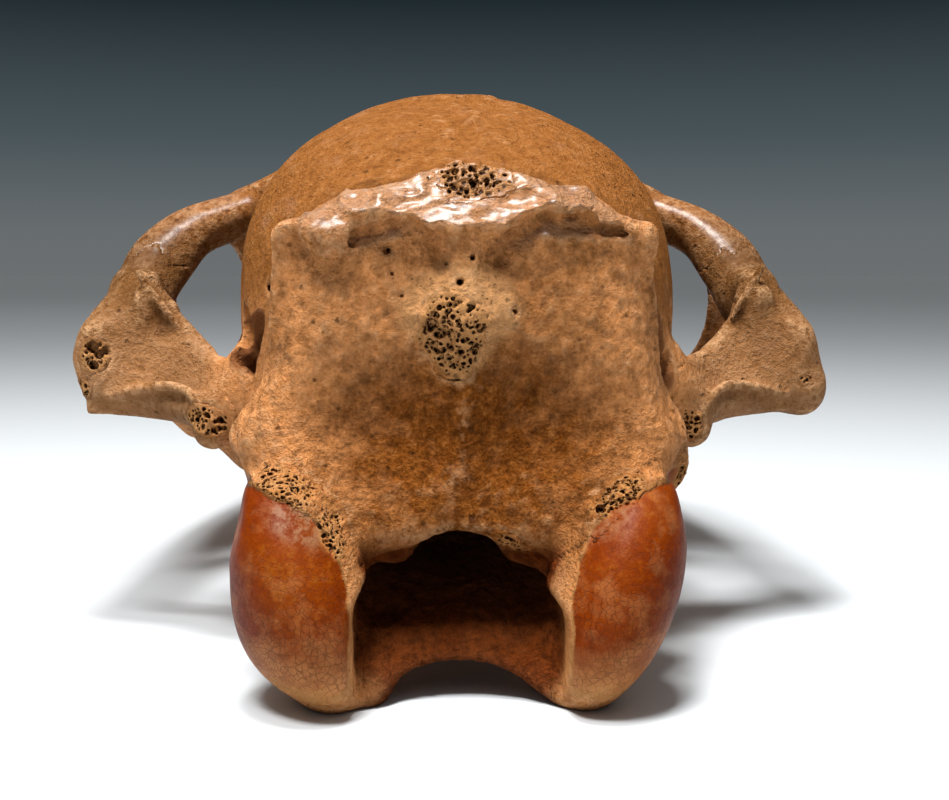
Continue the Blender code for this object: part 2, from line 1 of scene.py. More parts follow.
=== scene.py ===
# %% [markdown]
# # A horse skull in stained fossil bone
# This lesson builds a life-size skull of a horse without its lower jaw, as a museum shows it: it rests
# on its two condyles, its cheek teeth and its incisors, with the back of the head toward the viewer.
# A plain model of the same skull, one mesh for each bone, has already been made and packed. It gives
# every bone its place and size. Here each plain bone is replaced by a detailed one in the same place.

# %% Load the plain skull and keep its size
import bpy
import numpy as np
from math import radians
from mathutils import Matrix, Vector


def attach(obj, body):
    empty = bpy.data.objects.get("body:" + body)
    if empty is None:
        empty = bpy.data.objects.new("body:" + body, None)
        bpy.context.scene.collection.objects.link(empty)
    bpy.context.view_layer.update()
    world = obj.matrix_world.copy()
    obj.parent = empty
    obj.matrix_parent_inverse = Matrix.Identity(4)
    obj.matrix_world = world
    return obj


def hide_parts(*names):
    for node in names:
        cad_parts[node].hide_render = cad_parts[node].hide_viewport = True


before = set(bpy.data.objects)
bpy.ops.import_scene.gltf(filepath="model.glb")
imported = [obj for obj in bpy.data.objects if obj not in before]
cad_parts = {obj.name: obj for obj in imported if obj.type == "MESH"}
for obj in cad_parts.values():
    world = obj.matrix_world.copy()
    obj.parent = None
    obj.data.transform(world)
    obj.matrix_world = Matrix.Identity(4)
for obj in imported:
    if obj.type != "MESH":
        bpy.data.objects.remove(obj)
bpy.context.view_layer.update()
MILLIMETRE = 0.001
MIDDLE_OF_LENGTH = 265.95       # y of the middle of the skull, counted from the back of the condyles
FLOOR_TRIM = 0.3                # the feet are ground flat by this much

# %% [markdown]
# ## Bone as a distance
# A skull has no flat faces and hardly any edges: every part flows into the next through a fillet.
# Boxes with bevels would always look assembled. A sculptor adds clay and takes it away, and the same
# can be written down as a distance: a function gives, for any point, how far it is from the surface,
# less than nought inside. The smaller of two distances joins two shapes, and a soft version of it
# fills the crease between them. All numbers below are millimetres, with the rear of the condyles near
# y = 0, the nose toward +y and the floor at z = 0.

# %% Soft joins and smooth curves
FAR = 60.0
def smooth_min(a, b, k):
    """The smaller of two distances, with the crease between them filled over k mm."""
    h = np.maximum(k - np.abs(a - b), 0.0) / k
    return np.minimum(a, b) - h * h * k * 0.25


def spline(stations):
    """Rows of (place, values...) become a function of place that gives smooth values."""
    rows = np.array(stations, float)
    stops, values = rows[:, 0], rows[:, 1:]
    slope = np.gradient(values, stops, axis=0)
    fine = np.linspace(stops[0], stops[-1], 400)
    k = np.clip(np.searchsorted(stops, fine) - 1, 0, len(stops) - 2)
    h = (stops[k + 1] - stops[k])[:, None]
    s = (fine[:, None] - stops[k][:, None]) / h
    s2 = s * s
    s3 = s2 * s
    table = ((2 * s3 - 3 * s2 + 1) * values[k] + (s3 - 2 * s2 + s) * h * slope[k]
             + (3 * s2 - 2 * s3) * values[k + 1] + (s3 - s2) * h * slope[k + 1])
    return lambda place: [np.interp(place, fine, column) for column in table.T]


def turned(x=0.0, y=0.0, z=0.0):
    """Rotation by degrees about x, then y, then z."""
    a, b, c = np.radians([x, y, z])
    about_x = np.array([[1, 0, 0], [0, np.cos(a), -np.sin(a)], [0, np.sin(a), np.cos(a)]])
    about_y = np.array([[np.cos(b), 0, np.sin(b)], [0, 1, 0], [-np.sin(b), 0, np.cos(b)]])
    about_z = np.array([[np.cos(c), -np.sin(c), 0], [np.sin(c), np.cos(c), 0], [0, 0, 1]])
    return about_z @ about_y @ about_x


print("two shapes 1 mm away join to a surface", smooth_min(np.array(1.0), np.array(1.0), 4.0), "mm away")

# %% [markdown]
# ## Shapes to model with
# A few shapes make nearly all of a skull. An egg makes bulges and hollows. A bar, a rod whose
# thickness changes along its way, makes arches, crests and struts, and a block makes broken corners.
# Each shape comes with its box, so that only points near it are worked out.

# %% Egg, bar and block
def egg(centre, radii, tilt=(0, 0, 0)):
    """An ellipsoid. Every shape is a distance function with the corners of its box."""
    centre, radii, axes = np.array(centre, float), np.array(radii, float), turned(*tilt)
    reach = np.sqrt(((axes * radii) ** 2).sum(1))

    def distance(p):
        q = (p - centre) @ axes
        near = np.sqrt(((q / radii) ** 2).sum(1)) + 1e-9
        steep = np.sqrt(((q / radii ** 2) ** 2).sum(1)) + 1e-9
        return near * (near - 1) / steep
    return distance, centre - reach, centre + reach


def bar(points, radii, broad=(0, 0, 1)):
    """A rod through the points with a (along broad, across) radius at each of them."""
    points = np.array(points, float)
    radii = np.array([r if np.ndim(r) else (r, r) for r in radii], float)
    most = radii.max()
    up = np.array(broad, float) / np.linalg.norm(broad)

    def distance(p):
        best = np.full(len(p), 1e3)
        for a, b, ra, rb in zip(points[:-1], points[1:], radii[:-1], radii[1:]):
            axis = b - a
            length2 = axis @ axis
            t = np.clip(((p - a) @ axis) / length2, 0, 1)[:, None]
            off = p - (a + t * axis)
            r = ra + t * (rb - ra)
            lean = up - axis * (up @ axis) / length2
            lean /= np.linalg.norm(lean)
            tall = off @ lean
            wide = np.sqrt(np.maximum((off ** 2).sum(1) - tall ** 2, 0))
            near = np.sqrt((tall / r[:, 0]) ** 2 + (wide / r[:, 1]) ** 2) + 1e-9
            steep = np.sqrt((tall / r[:, 0] ** 2) ** 2 + (wide / r[:, 1] ** 2) ** 2) + 1e-9
            best = np.minimum(best, near * (near - 1) / steep)
        return best
    return distance, points.min(0) - most, points.max(0) + most


def curved(points, radii, broad=(0, 0, 1)):
    """A rod that bends smoothly through the points."""
    rows = [(i, *point, *(r if np.ndim(r) else (r, r)))
            for i, (point, r) in enumerate(zip(points, radii))]
    at = spline(rows)
    fine = np.array([at(place) for place in np.linspace(0, len(points) - 1, 4 * len(points) - 3)])
    return bar(fine[:, :3], fine[:, 3:], broad)


def block(centre, half, round_off, tilt=(0, 0, 0)):
    """A box with rounded edges."""
    centre, half, axes = np.array(centre, float), np.array(half, float), turned(*tilt)
    reach = (np.abs(axes) * half).sum(1)

    def distance(p):
        q = np.abs((p - centre) @ axes) - (half - round_off)
        outside = np.sqrt((np.maximum(q, 0) ** 2).sum(1))
        return outside + np.minimum(q.max(1), 0) - round_off
    return distance, centre - reach, centre + reach


print("far corner of the box of a tilted egg:", egg((0, 0, 0), (5, 10, 15), (0, 45, 0))[2].round(1), "mm")

# %% [markdown]
# ## Larger shapes
# A loft, a tube of sections that are anything from round to square, makes the brain case and the long
# box of the face. A hoop makes the rim round the eye, and the forehead is a bent plate of its own.

# %% Loft, hoop and the plate of the forehead
def loft(stations, along=1, round_off=8.0):
    """A tube of sections along y (1) or z (2), each as wide left as right.

    Each row: place, half width, top, middle, bottom, squareness above and below the middle.
    """
    curve = spline(stations)
    rows = np.array(stations, float)
    other = 3 - along
    low, high = np.zeros(3), np.zeros(3)
    low[0], high[0] = -rows[:, 1].max(), rows[:, 1].max()
    low[along], high[along] = rows[0, 0], rows[-1, 0]
    low[other], high[other] = rows[:, 4].min(), rows[:, 2].max()

    def distance(p):
        place = p[:, along]
        width, top, middle, bottom, above, below = curve(np.clip(place, rows[0, 0], rows[-1, 0]))
        up = p[:, other] - middle
        h = np.where(up > 0, top - middle, middle - bottom)
        n = np.where(up > 0, above, below)
        a, b = np.abs(p[:, 0]) / width + 1e-6, np.abs(up) / h + 1e-6
        rho = (a ** n + b ** n) ** (1 / n)
        steep = rho ** (1 - n) * np.sqrt((a ** (n - 1) / width) ** 2 + (b ** (n - 1) / h) ** 2)
        side = (rho - 1) / np.maximum(steep, 1e-3)
        end = np.maximum(rows[0, 0] - place, place - rows[-1, 0])
        return -smooth_min(-side, -end, round_off)
    return distance, low, high


def ring(centre, radii, tube, tilt=(0, 0, 0)):
    """An oval hoop that stands in its own y-z plane. Tube: half thickness across, in plane."""
    centre, axes = np.array(centre, float), turned(*tilt)
    reach = np.full(3, max(radii) + max(tube))

    def distance(p):
        q = (p - centre) @ axes
        along, up = q[:, 1] / radii[0], q[:, 2] / radii[1]
        rho = np.sqrt(along ** 2 + up ** 2) + 1e-9
        steep = np.sqrt((along / radii[0]) ** 2 + (up / radii[1]) ** 2) / rho + 1e-9
        in_plane = (rho - 1) / steep
        near = np.sqrt((q[:, 0] / tube[0]) ** 2 + (in_plane / tube[1]) ** 2) + 1e-9
        return (near - 1) * min(tube)
    return distance, centre - reach, centre + reach


def forehead(half_widths, crown_line, sag, spread, thin, thicker):
    """A plate that follows the crown line and falls away by sag toward each side.

    It is thin at its edges and grows by thicker in the middle, where it lies on the brain case.
    """
    stops, halves = np.array(half_widths, float).T
    crown_at = spline(crown_line)

    def distance(p):
        y = p[:, 1]
        crown, = crown_at(y)
        x = np.abs(p[:, 0])
        wave = np.pi / 2 * np.minimum(x / spread, 1)
        height = crown - sag * np.sin(wave) ** 2
        thick = thin + thicker * np.clip(1.6 - 2.2 * x / spread, 0, 1)
        slope = sag * np.pi / 2 / spread * np.sin(2 * wave)
        sheet = np.abs(p[:, 2] - (height - thick / 2)) / np.sqrt(1 + slope ** 2) - thick / 2
        edge = x - np.interp(y, stops, halves)
        end = np.maximum(stops[0] - y, y - stops[-1])
        return -smooth_min(-np.maximum(sheet, edge), -end, thin)
    wide = halves.max()
    return distance, np.array([-wide, stops[0], 80.0]), np.array([wide, stops[-1], 152.0])


eye_hoop, *_ = ring((0, 0, 0), (31, 26), (4.5, 4))
print("the middle of a hoop lies", eye_hoop(np.zeros((1, 3)))[0].round(1), "mm from it")

# %% [markdown]
# ## A bone that shapes are added to
# Left and right of a skull are alike, so the points are folded over to the right side, and a shape
# given for the right stands on both sides. A fossil is never quite even, though: breaks, holes and
# bumps are given for one side with side=1, right, or side=-1, left. To see what each step makes, a
# loose cloud of points is asked afterwards which of them lie in the bone.

# %% The bone
class Bone:
    """Distance in mm from each point to the bone's surface: less than nought inside it.

    Shapes are given for the right side and stand on both, or on one side where side is given.
    """
    margin = 14.0

    def __init__(self, points):
        self.side = np.sign(points[:, 0])
        self.p = points.copy()
        self.p[:, 0] = np.abs(self.p[:, 0])
        self.d = np.full(len(points), FAR)

    def near(self, shape, side):
        low, high = shape[1] - self.margin, shape[2] + self.margin
        inside = ((self.p > low) & (self.p < high)).all(1)
        if side:
            inside &= self.side == side
        return np.nonzero(inside)[0]

    def add(self, shape, blend=4.0, side=0):
        i = self.near(shape, side)
        self.d[i] = smooth_min(self.d[i], shape[0](self.p[i]), blend)

    def cut(self, shape, blend=3.0, side=0):
        i = self.near(shape, side)
        self.d[i] = -smooth_min(-self.d[i], shape[0](self.p[i]), blend)

# %% A measure for each step
CLOUD_STEP = 5.0
CLOUD = np.stack(np.meshgrid(np.arange(-105, 106, CLOUD_STEP), np.arange(-15, 546, CLOUD_STEP),
                             np.arange(-5, 156, CLOUD_STEP), indexing="ij"), -1).reshape(-1, 3)


def measure(title, *steps):
    """Prints the size of what the steps make, to the nearest few mm, and its volume."""
    bone = Bone(CLOUD)
    for step in steps:
        step(bone)
    solid = CLOUD[bone.d < 0]
    wide, length, high = np.ptp(solid, axis=0)
    volume = len(solid) * (CLOUD_STEP / 10) ** 3
    print(f"{title}: {wide:.0f} mm wide, {length:.0f} long, {high:.0f} high, {volume:.0f} ml")


print("the cloud has", len(CLOUD), "points")

# %% [markdown]
# ## Brain case
# Seen from behind, a horse's head is a round dome, because the brain fills the back of it. It is made
# as a loft: eight sections from the back to the eyes, nearly round but a little squarer on top.

# %% Brain case
CROWN_LINE = [(90, 137.4), (120, 142.8), (150, 146.8), (180, 148), (210, 147), (240, 143.5)]


def braincase(bone):
    """The round box of the brain, narrowing behind the eyes."""
    bone.add(loft([
        (14, 36, 108, 76, 46, 2.6, 2.4),
        (40, 46, 119, 80, 38, 2.5, 2.2),
        (70, 54.5, 131, 84, 34, 2.5, 2.2),
        (95, 57, 137.6, 86, 34, 2.52, 2.2),
        (120, 53, 141, 88, 38, 2.45, 2.2),
        (150, 41, 143, 92, 46, 2.0, 2.2),
        (185, 32, 143, 95, 56, 2.0, 2.4),
        (215, 36, 141, 90, 56, 2.0, 2.4)], round_off=10))


measure("brain case", braincase)

# %% [markdown]
# ## Occiput
# In front of the dome, as one looks at it from behind, stands an upright plate, the occiput, that the
# neck muscles pulled on. A thick rough crest runs along its top. The plate is a loft too, with its
# sections one above another. The crest is a bar with lumps and flat facets laid over it, since
# muscle attachments grow as lumps.

# %% Occiput and its crest
def occiput(bone):
    """The upright plate at the back with its crest and side edges."""
    bone.add(loft([
        (36, 37, 60, 28, 8, 3, 3),
        (46, 46, 60, 32, 9, 3, 3.2),
        (56, 50, 60, 34, 11, 3, 3.5),
        (64, 46, 60, 34, 13, 3, 4.5),
        (75, 42, 60, 34, 15, 3, 5),
        (90, 40, 60, 34, 16, 3, 5),
        (102, 38, 60, 34, 15, 3, 4),
        (110, 30, 50, 30, 13, 3, 3)], along=2, round_off=4), 6)
    # the crest, a lump on each side of the middle, and a knob and a notch at the left corner
    bone.add(bar([(0, 14, 107), (12, 13.5, 107), (24, 15.5, 104.5), (38, 20.5, 101.5)],
                 [(6, 6), (5.5, 5.5), (3.6, 5), (3.0, 4.0)]), 4)
    bone.add(egg((1.5, 15.5, 109.5), (16, 7.5, 8.0)), 4, side=1)
    bone.add(egg((0.5, 15.5, 109.5), (14, 7.5, 8.0)), 4, side=-1)
    bone.add(egg((28.5, 15, 101), (8, 5.5, 5.0), (0, -12, 0)), 2.5, side=-1)
    bone.cut(egg((37.5, 15, 97.5), (4, 4.5, 6), (0, 25, 0)), 1.5, side=-1)
    # sloping facets along the crest
    bone.add(block((0, 16.0, 106.4), (10, 4.6, 7.0), 2, (-36, 0, 0)), 3)
    bone.add(block((15, 16.4, 106.8), (12, 3.6, 4.8), 1.5, (-40, 0, 10)), 3)
    bone.cut(block((1.5, 4.6, 116.2), (16, 10, 10), 3, (-36, 0, 0)), 2)
    # the sharp side edge of the plate
    bone.add(bar([(38.5, 21.5, 100), (40, 24.5, 90), (41, 27, 78), (42, 29, 69), (48, 32, 57)],
                 [2.6, 2.4, 2.3, 2.6, 4]), 4)


measure("occiput", occiput)

# %% [markdown]
# ## Boss and hollows of the occiput
# Below the crest lie two hollows with a ridge between them, and the ridge ends in a rounded boss for
# the big ligament of the neck. Cuts with a small blend leave sharp lips, as under the crest, and cuts
# with a large blend leave soft hollows, as beside the boss.

# %% Boss, ridge and hollows
def boss_and_hollows(bone):
    # the hollow under the crest, its middle ridge, and a narrow groove right below the crest
    bone.cut(bar([(3, 7.5, 95.5), (8, 8.5, 98), (13, 9.5, 101.5), (20, 12, 102.5)],
                 [(3.0, 2.6), (4.2, 2.8), (3.6, 2.6), (2.0, 1.6)]), 1.0, side=-1)
    bone.cut(bar([(5, 7.5, 96), (9, 8.5, 98.5), (15, 10, 103), (26, 13, 104.5)],
                 [(3.0, 2.6), (4.0, 3.0), (3.6, 2.6), (2.2, 1.8)]), 1.0, side=1)
    bone.add(bar([(1.5, 12, 103), (1.0, 12.5, 96), (0, 13.5, 88)],
                 [(3.6, 3.2), (2.6, 2.6), (5, 4)], (1, 0, 0)), 2.5)
    bone.cut(curved([(27, 12.5, 98), (22, 11.5, 101.6), (14, 11, 102.8), (8.4, 11, 99.5), (6.8, 12.5, 96)],
                    [1.0, 2.0, 2.0, 2.4, 2.0]), 0.5, side=-1)
    bone.cut(curved([(7.4, 12.5, 96), (9.6, 11.5, 100), (18, 11.6, 102.6), (28, 13.5, 102.9),
                     (36, 17, 101.8)],
                    [2.0, 2.4, 2.0, 1.8, 1.0]), 0.5, side=1)
    # the boss and the low ridge that runs down from it
    bone.add(egg((0, 15.6, 85.5), (12.6, 6.6, 9.8)), 2)
    bone.add(bar([(0, 15.4, 84), (0, 15.6, 77), (0, 17.5, 69)],
                 [(9, 6), (6.5, 5.4), (2.6, 3)], (1, 0, 0)), 2)
    # one broad hollow on each side of the ridge, with two smaller ones in it
    bone.cut(egg((20, 3, 62), (20, 14, 14)), 8)
    bone.cut(egg((11, 8.5, 72), (8, 6, 9), (0, -30, 0)), 4)
    bone.cut(egg((9, 8.5, 58), (7, 5.5, 8)), 4)
    # the swelling at the lower corner of the plate, higher on the left
    bone.add(egg((47.5, 36, 50), (6.5, 8, 8)), 4, side=1)
    bone.add(egg((44, 36, 56), (6.5, 8, 8)), 4, side=-1)


measure("occiput with its boss and hollows", occiput, boss_and_hollows)

# %% [markdown]
# ## Condyles
# The two condyles are the joint with the neck. In life they were capped with cartilage, so they are
# the smoothest part of the skull. Each is an egg that leans outward, with a smaller egg at its foot.

# %% Condyles and base
def condyles_and_base(bone):
    bone.add(loft([
        (18, 30, 52, 32, 12, 2.6, 2.4),
        (50, 33, 62, 40, 20, 2.4, 2.3),
        (80, 34, 72, 50, 30, 2.2, 2.2)], round_off=5), 5)
    # neck, joint surface (fuller on the left) and foot of each condyle
    bone.add(egg((33, 30, 39), (13, 20, 20)), 6)
    bone.add(egg((33.6, 10.5, 26), (14, 20, 27), (-20, 20, 0)), 3)
    bone.add(egg((34.6, 12, 20), (13.6, 17, 18), (-20, 20, 0)), 3, side=-1)
    bone.add(egg((27, 12, 8), (9, 12, 9.5)), 4)
    # the hollow beside each condyle
    bone.cut(egg((58.2, 6, 47), (11, 22, 16), (0, 20, 0)), 3, side=-1)
    bone.cut(egg((60.5, 6, 49), (11, 22, 16), (0, 20, 0)), 3, side=1)
    # the base of the skull, its joins to the condyles, and the ear capsules
    bone.add(bar([(0, 24, 15.5), (0, 60, 27), (0, 100, 38), (0, 150, 52), (0, 215, 62)],
                 [(6, 22), (7, 17), (8, 13), (8, 12), (6, 8)]), 6)
    bone.add(bar([(4, 21, 15), (24, 12, 8.5)], [(5, 7), (8, 9)]), 4)
    bone.add(egg((32, 66, 36), (9, 13, 10)), 6)
    bone.add(bar([(25, 14, 37), (12, 14, 39)], [(6, 5), (5, 5)]), 4)


measure("condyles and base", condyles_and_base)

# %% [markdown]
# ## The great hole
# Between the condyles the spinal cord left the head through the great hole. It is open to the brain
# cavity, so one looks through it at a real inner wall. A painted dark spot would look flat as soon as
# the skull is turned. Two slits between the plate and the brain case are cut in the same way. The finish
# further down also darkens the cavity and the slits with painted shade.

# %% Great hole, brain cavity and slits
LEFT_SLIT = bar([(48.5, 44, 81), (48.8, 54, 75.5), (46.5, 58, 69)], [(2.6, 4.4), (4.6, 7.4), (3.4, 6.4)])
RIGHT_SLIT = bar([(46.7, 38, 82), (48.6, 44, 76), (49.2, 48, 70)], [(2.0, 3), (3.2, 6), (2.4, 5)])


def great_hole(bone):
    bone.cut(loft([
        (-25, 22.6, 29, 18, -20, 2.6, 6),
        (0, 22.6, 29, 18, -6, 2.6, 6),
        (14, 22.6, 29, 18, 12, 2.6, 3.5),
        (30, 21.6, 35, 24, 20, 2.3, 3),
        (55, 19.6, 56, 36, 29, 2.1, 2.6),
        (70, 19.6, 60, 45, 35, 2.1, 2.4)], round_off=5), 2)
    # the arched top of the hole, its left corner, and the lip below that
    bone.cut(bar([(-0.4, -10, 28), (-0.4, 20, 29), (-1, 50, 38)], [(9, 10.3), (9, 10.3), (12, 14)]), 3)
    bone.cut(bar([(16, -10, 22), (16, 22, 22.5)], [(7, 6.5), (7, 6.5)]), 1.5, side=-1)
    bone.add(egg((19, 13, 4.5), (6, 7, 7)), 3, side=-1)
    # the brain cavity, the gap between the condyles' feet, and the slits with a thin leaf on the left
    bone.cut(egg((0, 92, 80), (38, 46, 38)), 6)
    bone.cut(egg((0, 8, -5), (17, 17, 14.5)), 3)
    bone.add(curved([(46.5, 42, 85), (51.5, 52, 80), (54, 58, 73)], [1.3, 1.5, 2.0]), 1.5, side=-1)
    bone.cut(LEFT_SLIT, 1, side=-1)
    bone.cut(RIGHT_SLIT, 1, side=1)


measure("brain case before it is hollowed", braincase, condyles_and_base)
measure("brain case after", braincase, condyles_and_base, great_hole)

# %% [markdown]
# ## Cheek arches
# The cheek arch swings out from the side of the head, carries the joint of the lower jaw on its
# underside and runs forward below the eye. From behind it is a tilted panel. It is made of bars,
# because a bar can be tall and thin and still bend.

# %% Cheek arch
def cheek_arch(bone):
    # root, the bar of the jaw joint, and the stop that kept the jaw from slipping back
    bone.add(bar([(46, 60, 66), (58, 68, 62), (70, 78, 65), (84, 84, 68)],
                 [(13, 10), (9.5, 8), (10, 8), (11, 8)]), 6)
    bone.add(bar([(66, 82, 62), (80, 85, 63), (90, 86, 63.5)], [(4.5, 9), (5, 9.5), (6, 9)]), 5)
    bone.add(egg((94, 85, 62.5), (6, 8, 7)), 4, side=1)
    bone.add(bar([(60, 68, 62), (60, 64, 54.5)], [7, 5]), 4)
    # the outer panel, its upper border on each side, and the filling between
    bone.add(curved([(87.5, 84, 75), (88, 96, 79), (87.5, 112, 81)],
                    [(17, 9.5), (16.5, 7), (14, 6)], broad=(-0.45, 0, 1)), 4)
    bone.add(bar([(77.6, 87, 91), (74, 84, 81), (66, 79, 71.5)], [(4, 3), (3.6, 3), (4, 4)]), 3, side=-1)
    bone.add(bar([(80.4, 87, 91), (77.4, 84, 81), (69, 79, 71.5)], [(4, 3), (3.6, 3), (4, 4)]), 3, side=1)
    bone.add(egg((82.5, 85, 77), (8, 5, 13)), 3)
    # the long run below the eye and along the cheek, and the swelling in front of it
    bone.add(bar([(88, 108, 79), (91, 130, 73), (90, 155, 64), (88, 180, 55),
                  (84, 208, 47), (77, 240, 44), (70, 285, 48), (63, 325, 48), (57, 352, 48)],
                 [(13.5, 6), (11, 5.5), (8.5, 6), (8, 7), (11, 9), (14, 11), (9, 9), (6, 7), (4, 5)]), 6)
    bone.add(egg((66, 233, 38), (14, 19, 18)), 8)


measure("cheek arches", cheek_arch)

# %% [markdown]
# ## Corners and rims of the arches
# The rear ends of the arches are broken off square, differently on each side, so blocks make them. A
# thin rim stands along the upper border with a hollow beside it, and a low ridge crosses the panel.

# %% Corners and rims
def arch_corners(bone):
    bone.cut(block((102.2, 84, 60.2), (8, 25, 12), 1, (0, 28.5, 0)), 1, side=-1)
    bone.add(block((88.6, 84, 60.4), (5.6, 5.5, 3.6), 0.6), 1, side=-1)
    bone.add(block((91, 84, 60.8), (5.8, 5.5, 3.6), 0.6), 1, side=1)
    bone.add(block((91, 84, 65.2), (4.6, 5, 3.2), 1.2, (0, 12, 0)), 1.5, side=-1)
    bone.add(block((92.5, 84, 63.6), (4.6, 5, 2.8), 1.2, (0, -4, 0)), 2, side=1)
    # the shallow hollow of the panel, and room beside the rim
    bone.cut(egg((80, 60, 80), (24, 18.3, 22), (0, -8, 0)), 3)
    bone.cut(egg((71, 84, 95), (6, 14, 9)), 1.5, side=-1)
    bone.cut(egg((72.5, 84, 96.5), (6, 14, 9)), 1.5, side=1)
    for side, out, up in ((-1, 0, 0), (1, 1.6, 1.6)):
        bone.cut(block((91.2 + 2 * out, 78.7, 96.3), (9, 11, 10), 3, (47, 0, 0)), 5, side)
        rim = [(80.4, 80.8, 93.6), (77.6, 79.8, 89), (74, 79.0, 84), (71.6, 79.4, 80)]
        bone.add(curved([(x + out, y, z + up) for x, y, z in rim], [1.0, 1.2, 1.1, 0.7]), 1.2, side)
    bone.add(curved([(88, 75.8, 62), (79, 72.8, 64), (71, 68.8, 65), (65, 63, 63), (60.5, 59.6, 57.5)],
                    [0.9, 1.3, 1.4, 1.3, 1.0]), 1.2)


measure("cheek arches with corners and rims", cheek_arch, arch_corners)

# %% [markdown]
# ## Forehead and eye sockets
# A strut from the forehead meets the arch behind the eye, so the hole between strut and brain case,
# where the jaw muscle passed, can be seen through from behind. The forehead is a thin plate that
# spreads from the top of the brain case, and a hoop makes the rim of the eye socket.

# %% Forehead, strut and rim of the eye
def eye_socket(bone):
    """The forehead, the strut behind the eye and the rim round it."""
    bone.add(forehead([(112, 30), (135, 56), (165, 74), (195, 79), (215, 74), (228, 66)],
                      CROWN_LINE, 36, 85, 8, 22), 7)
    bone.add(curved([(54, 150, 114), (66, 143, 109.5), (76, 136, 104.6), (82.5, 127, 96.5),
                     (85.3, 116, 88)],
                    [(6, 12), (6.8, 11), (7.5, 10.5), (9, 9.5), (8.5, 8)], broad=(0.55, 0, 1)), 6)
    bone.add(ring((75.5, 184, 85), (31, 26), (4.5, 4), (0, 0, 22)), 5)


measure("forehead and eye sockets", eye_socket)

# %% [markdown]
# ## Face
# In front of the eyes a horse's skull is a long box that holds the roots of the cheek teeth. The nasal
# bones roof it and run out into a free point over the nose. The muzzle carries the incisors.

# %% Face and muzzle
def face(bone):
    bone.add(loft([
        (206, 60, 144, 84, 26, 2.1, 3.2),
        (240, 66, 142.5, 80, 17, 2.0, 3.4),
        (280, 65, 135, 72, 14, 1.9, 3.4),
        (320, 60.5, 125.5, 66, 13, 1.85, 3.4),
        (360, 54, 115, 60, 14, 1.8, 3.2),
        (396, 43, 104.5, 55, 20, 1.9, 2.8),
        (410, 38, 99, 52, 24, 2.0, 2.6)], round_off=8), 6)
    # the hollow of the eye, and the nasal bones
    bone.cut(egg((68.5, 184, 85), (42, 27, 22.5), (0, 0, 22)), 3)
    bone.add(bar([(0, 340, 108), (0, 400, 97.5), (0, 440, 89.5), (0, 468, 83.5), (0, 482, 80)],
                 [(11, 32), (8, 26), (6.5, 18), (5, 10), (3, 4)]), 4)
    # side walls, floor and end of the muzzle
    bone.add(bar([(37, 374, 70), (34, 415, 53), (29, 460, 38), (26, 495, 31), (25, 515, 27)],
                 [(18, 8), (16, 7), (10, 8), (9.5, 9), (10, 9)]), 6)
    bone.add(bar([(0, 400, 33), (0, 450, 30), (0, 500, 27)], [(9, 30), (8, 26), (8, 24)]), 8)
    bone.add(egg((0, 510, 27), (32, 28, 13)), 6)


measure("face", face)

# %% [markdown]
# ## Nose, palate and throat
# The face is not solid. The nose opens at the front under the nasal bones, and the palate is a long
# trough between the rows of teeth that ends at the throat, where the air came down from the nose.
# They are cut as deep as one can look into them.

# %% Cavities of the face
def face_cavities(bone):
    # the nose, and the notch beside the nasal bones
    bone.cut(loft([
        (300, 20, 100, 75, 48, 2, 2.5),
        (360, 27, 101, 72, 45, 2.2, 2.5),
        (400, 27, 94, 66, 40, 2.2, 2.5),
        (460, 21, 84, 58, 37, 2.2, 2.5),
        (500, 15, 80, 52, 37, 2.2, 2.2),
        (522, 8, 80, 52, 40, 2.2, 2.2)], round_off=8), 3)
    bone.cut(bar([(40, 381, 88), (40, 430, 76), (37, 490, 62)], [(4, 31), (12, 31), (19, 31)]), 3)
    # the palate
    bone.cut(loft([
        (150, 20, 42, 30, -20, 2.5, 4),
        (215, 23, 44, 28, -20, 2.5, 4),
        (260, 30, 38, 20, -20, 2.5, 5),
        (330, 29, 36, 18, -20, 2.5, 5),
        (390, 27, 32, 16, -20, 2.5, 5),
        (450, 20, 24, 12, -20, 2.5, 4),
        (500, 14, 18, 6, -20, 2.2, 4)], round_off=8), 4)
    # thin walls beside the throat, and the throat itself
    bone.add(bar([(25, 240, 44), (24.5, 200, 46), (23, 160, 50), (20, 140, 52)],
                 [(18, 5), (17, 4), (12, 4), (6, 4)]), 5)
    bone.cut(loft([
        (146, 16, 60, 46, 20, 2.3, 3),
        (200, 19, 66, 48, 10, 2.3, 3),
        (250, 19, 66, 52, 30, 2.3, 3),
        (320, 19, 80, 60, 46, 2.3, 3)], round_off=6), 3)


measure("face with its cavities", face, face_cavities)

# %% [markdown]
# ## Sockets for the teeth
# The teeth are made on their own further down. The bone gets the swollen edge that each tooth stands
# in, about 9 mm above the floor.

# %% Tooth sockets
CHEEK_TEETH = 6
TOOTH_LENGTH = 27.4
TOOTH_ROW_START = 239.0
INCISOR_ANGLES = (12.0, 37.0, 62.0)


def cheek_tooth_place(number):
    y = TOOTH_ROW_START + TOOTH_LENGTH * number
    return 45.5 - 0.0006 * (y - 285) ** 2, y


def incisor_places():
    """Root, neck and edge of the three incisors of the right side."""
    for angle in INCISOR_ANGLES:
        s, c = np.sin(radians(angle)), np.cos(radians(angle))
        yield (26 * s, 505 + 20 * c, 24), (29.5 * s, 506 + 29 * c, 12), (30.5 * s, 508 + 32 * c, -2)


def sockets(bone):
    for number in range(CHEEK_TEETH):
        x, y = cheek_tooth_place(number)
        bone.add(block((x, y, 17), (13.4, 14.2, 8), 4), 5)
    for root, neck, _ in incisor_places():
        bone.add(bar([root, neck], [(7.0, 8.0), (6.4, 7.4)]), 5)


print("cheek teeth at x, y:", [tuple(round(v) for v in cheek_tooth_place(n)) for n in range(CHEEK_TEETH)])

# %% [markdown]
# ## Small canals at the back of the head
# The boss and the hollows beside it are dotted with canals for vessels, each a rod cut into the bone.
# A dark dot of colour would do from afar, but a real hole also catches light on its rim.

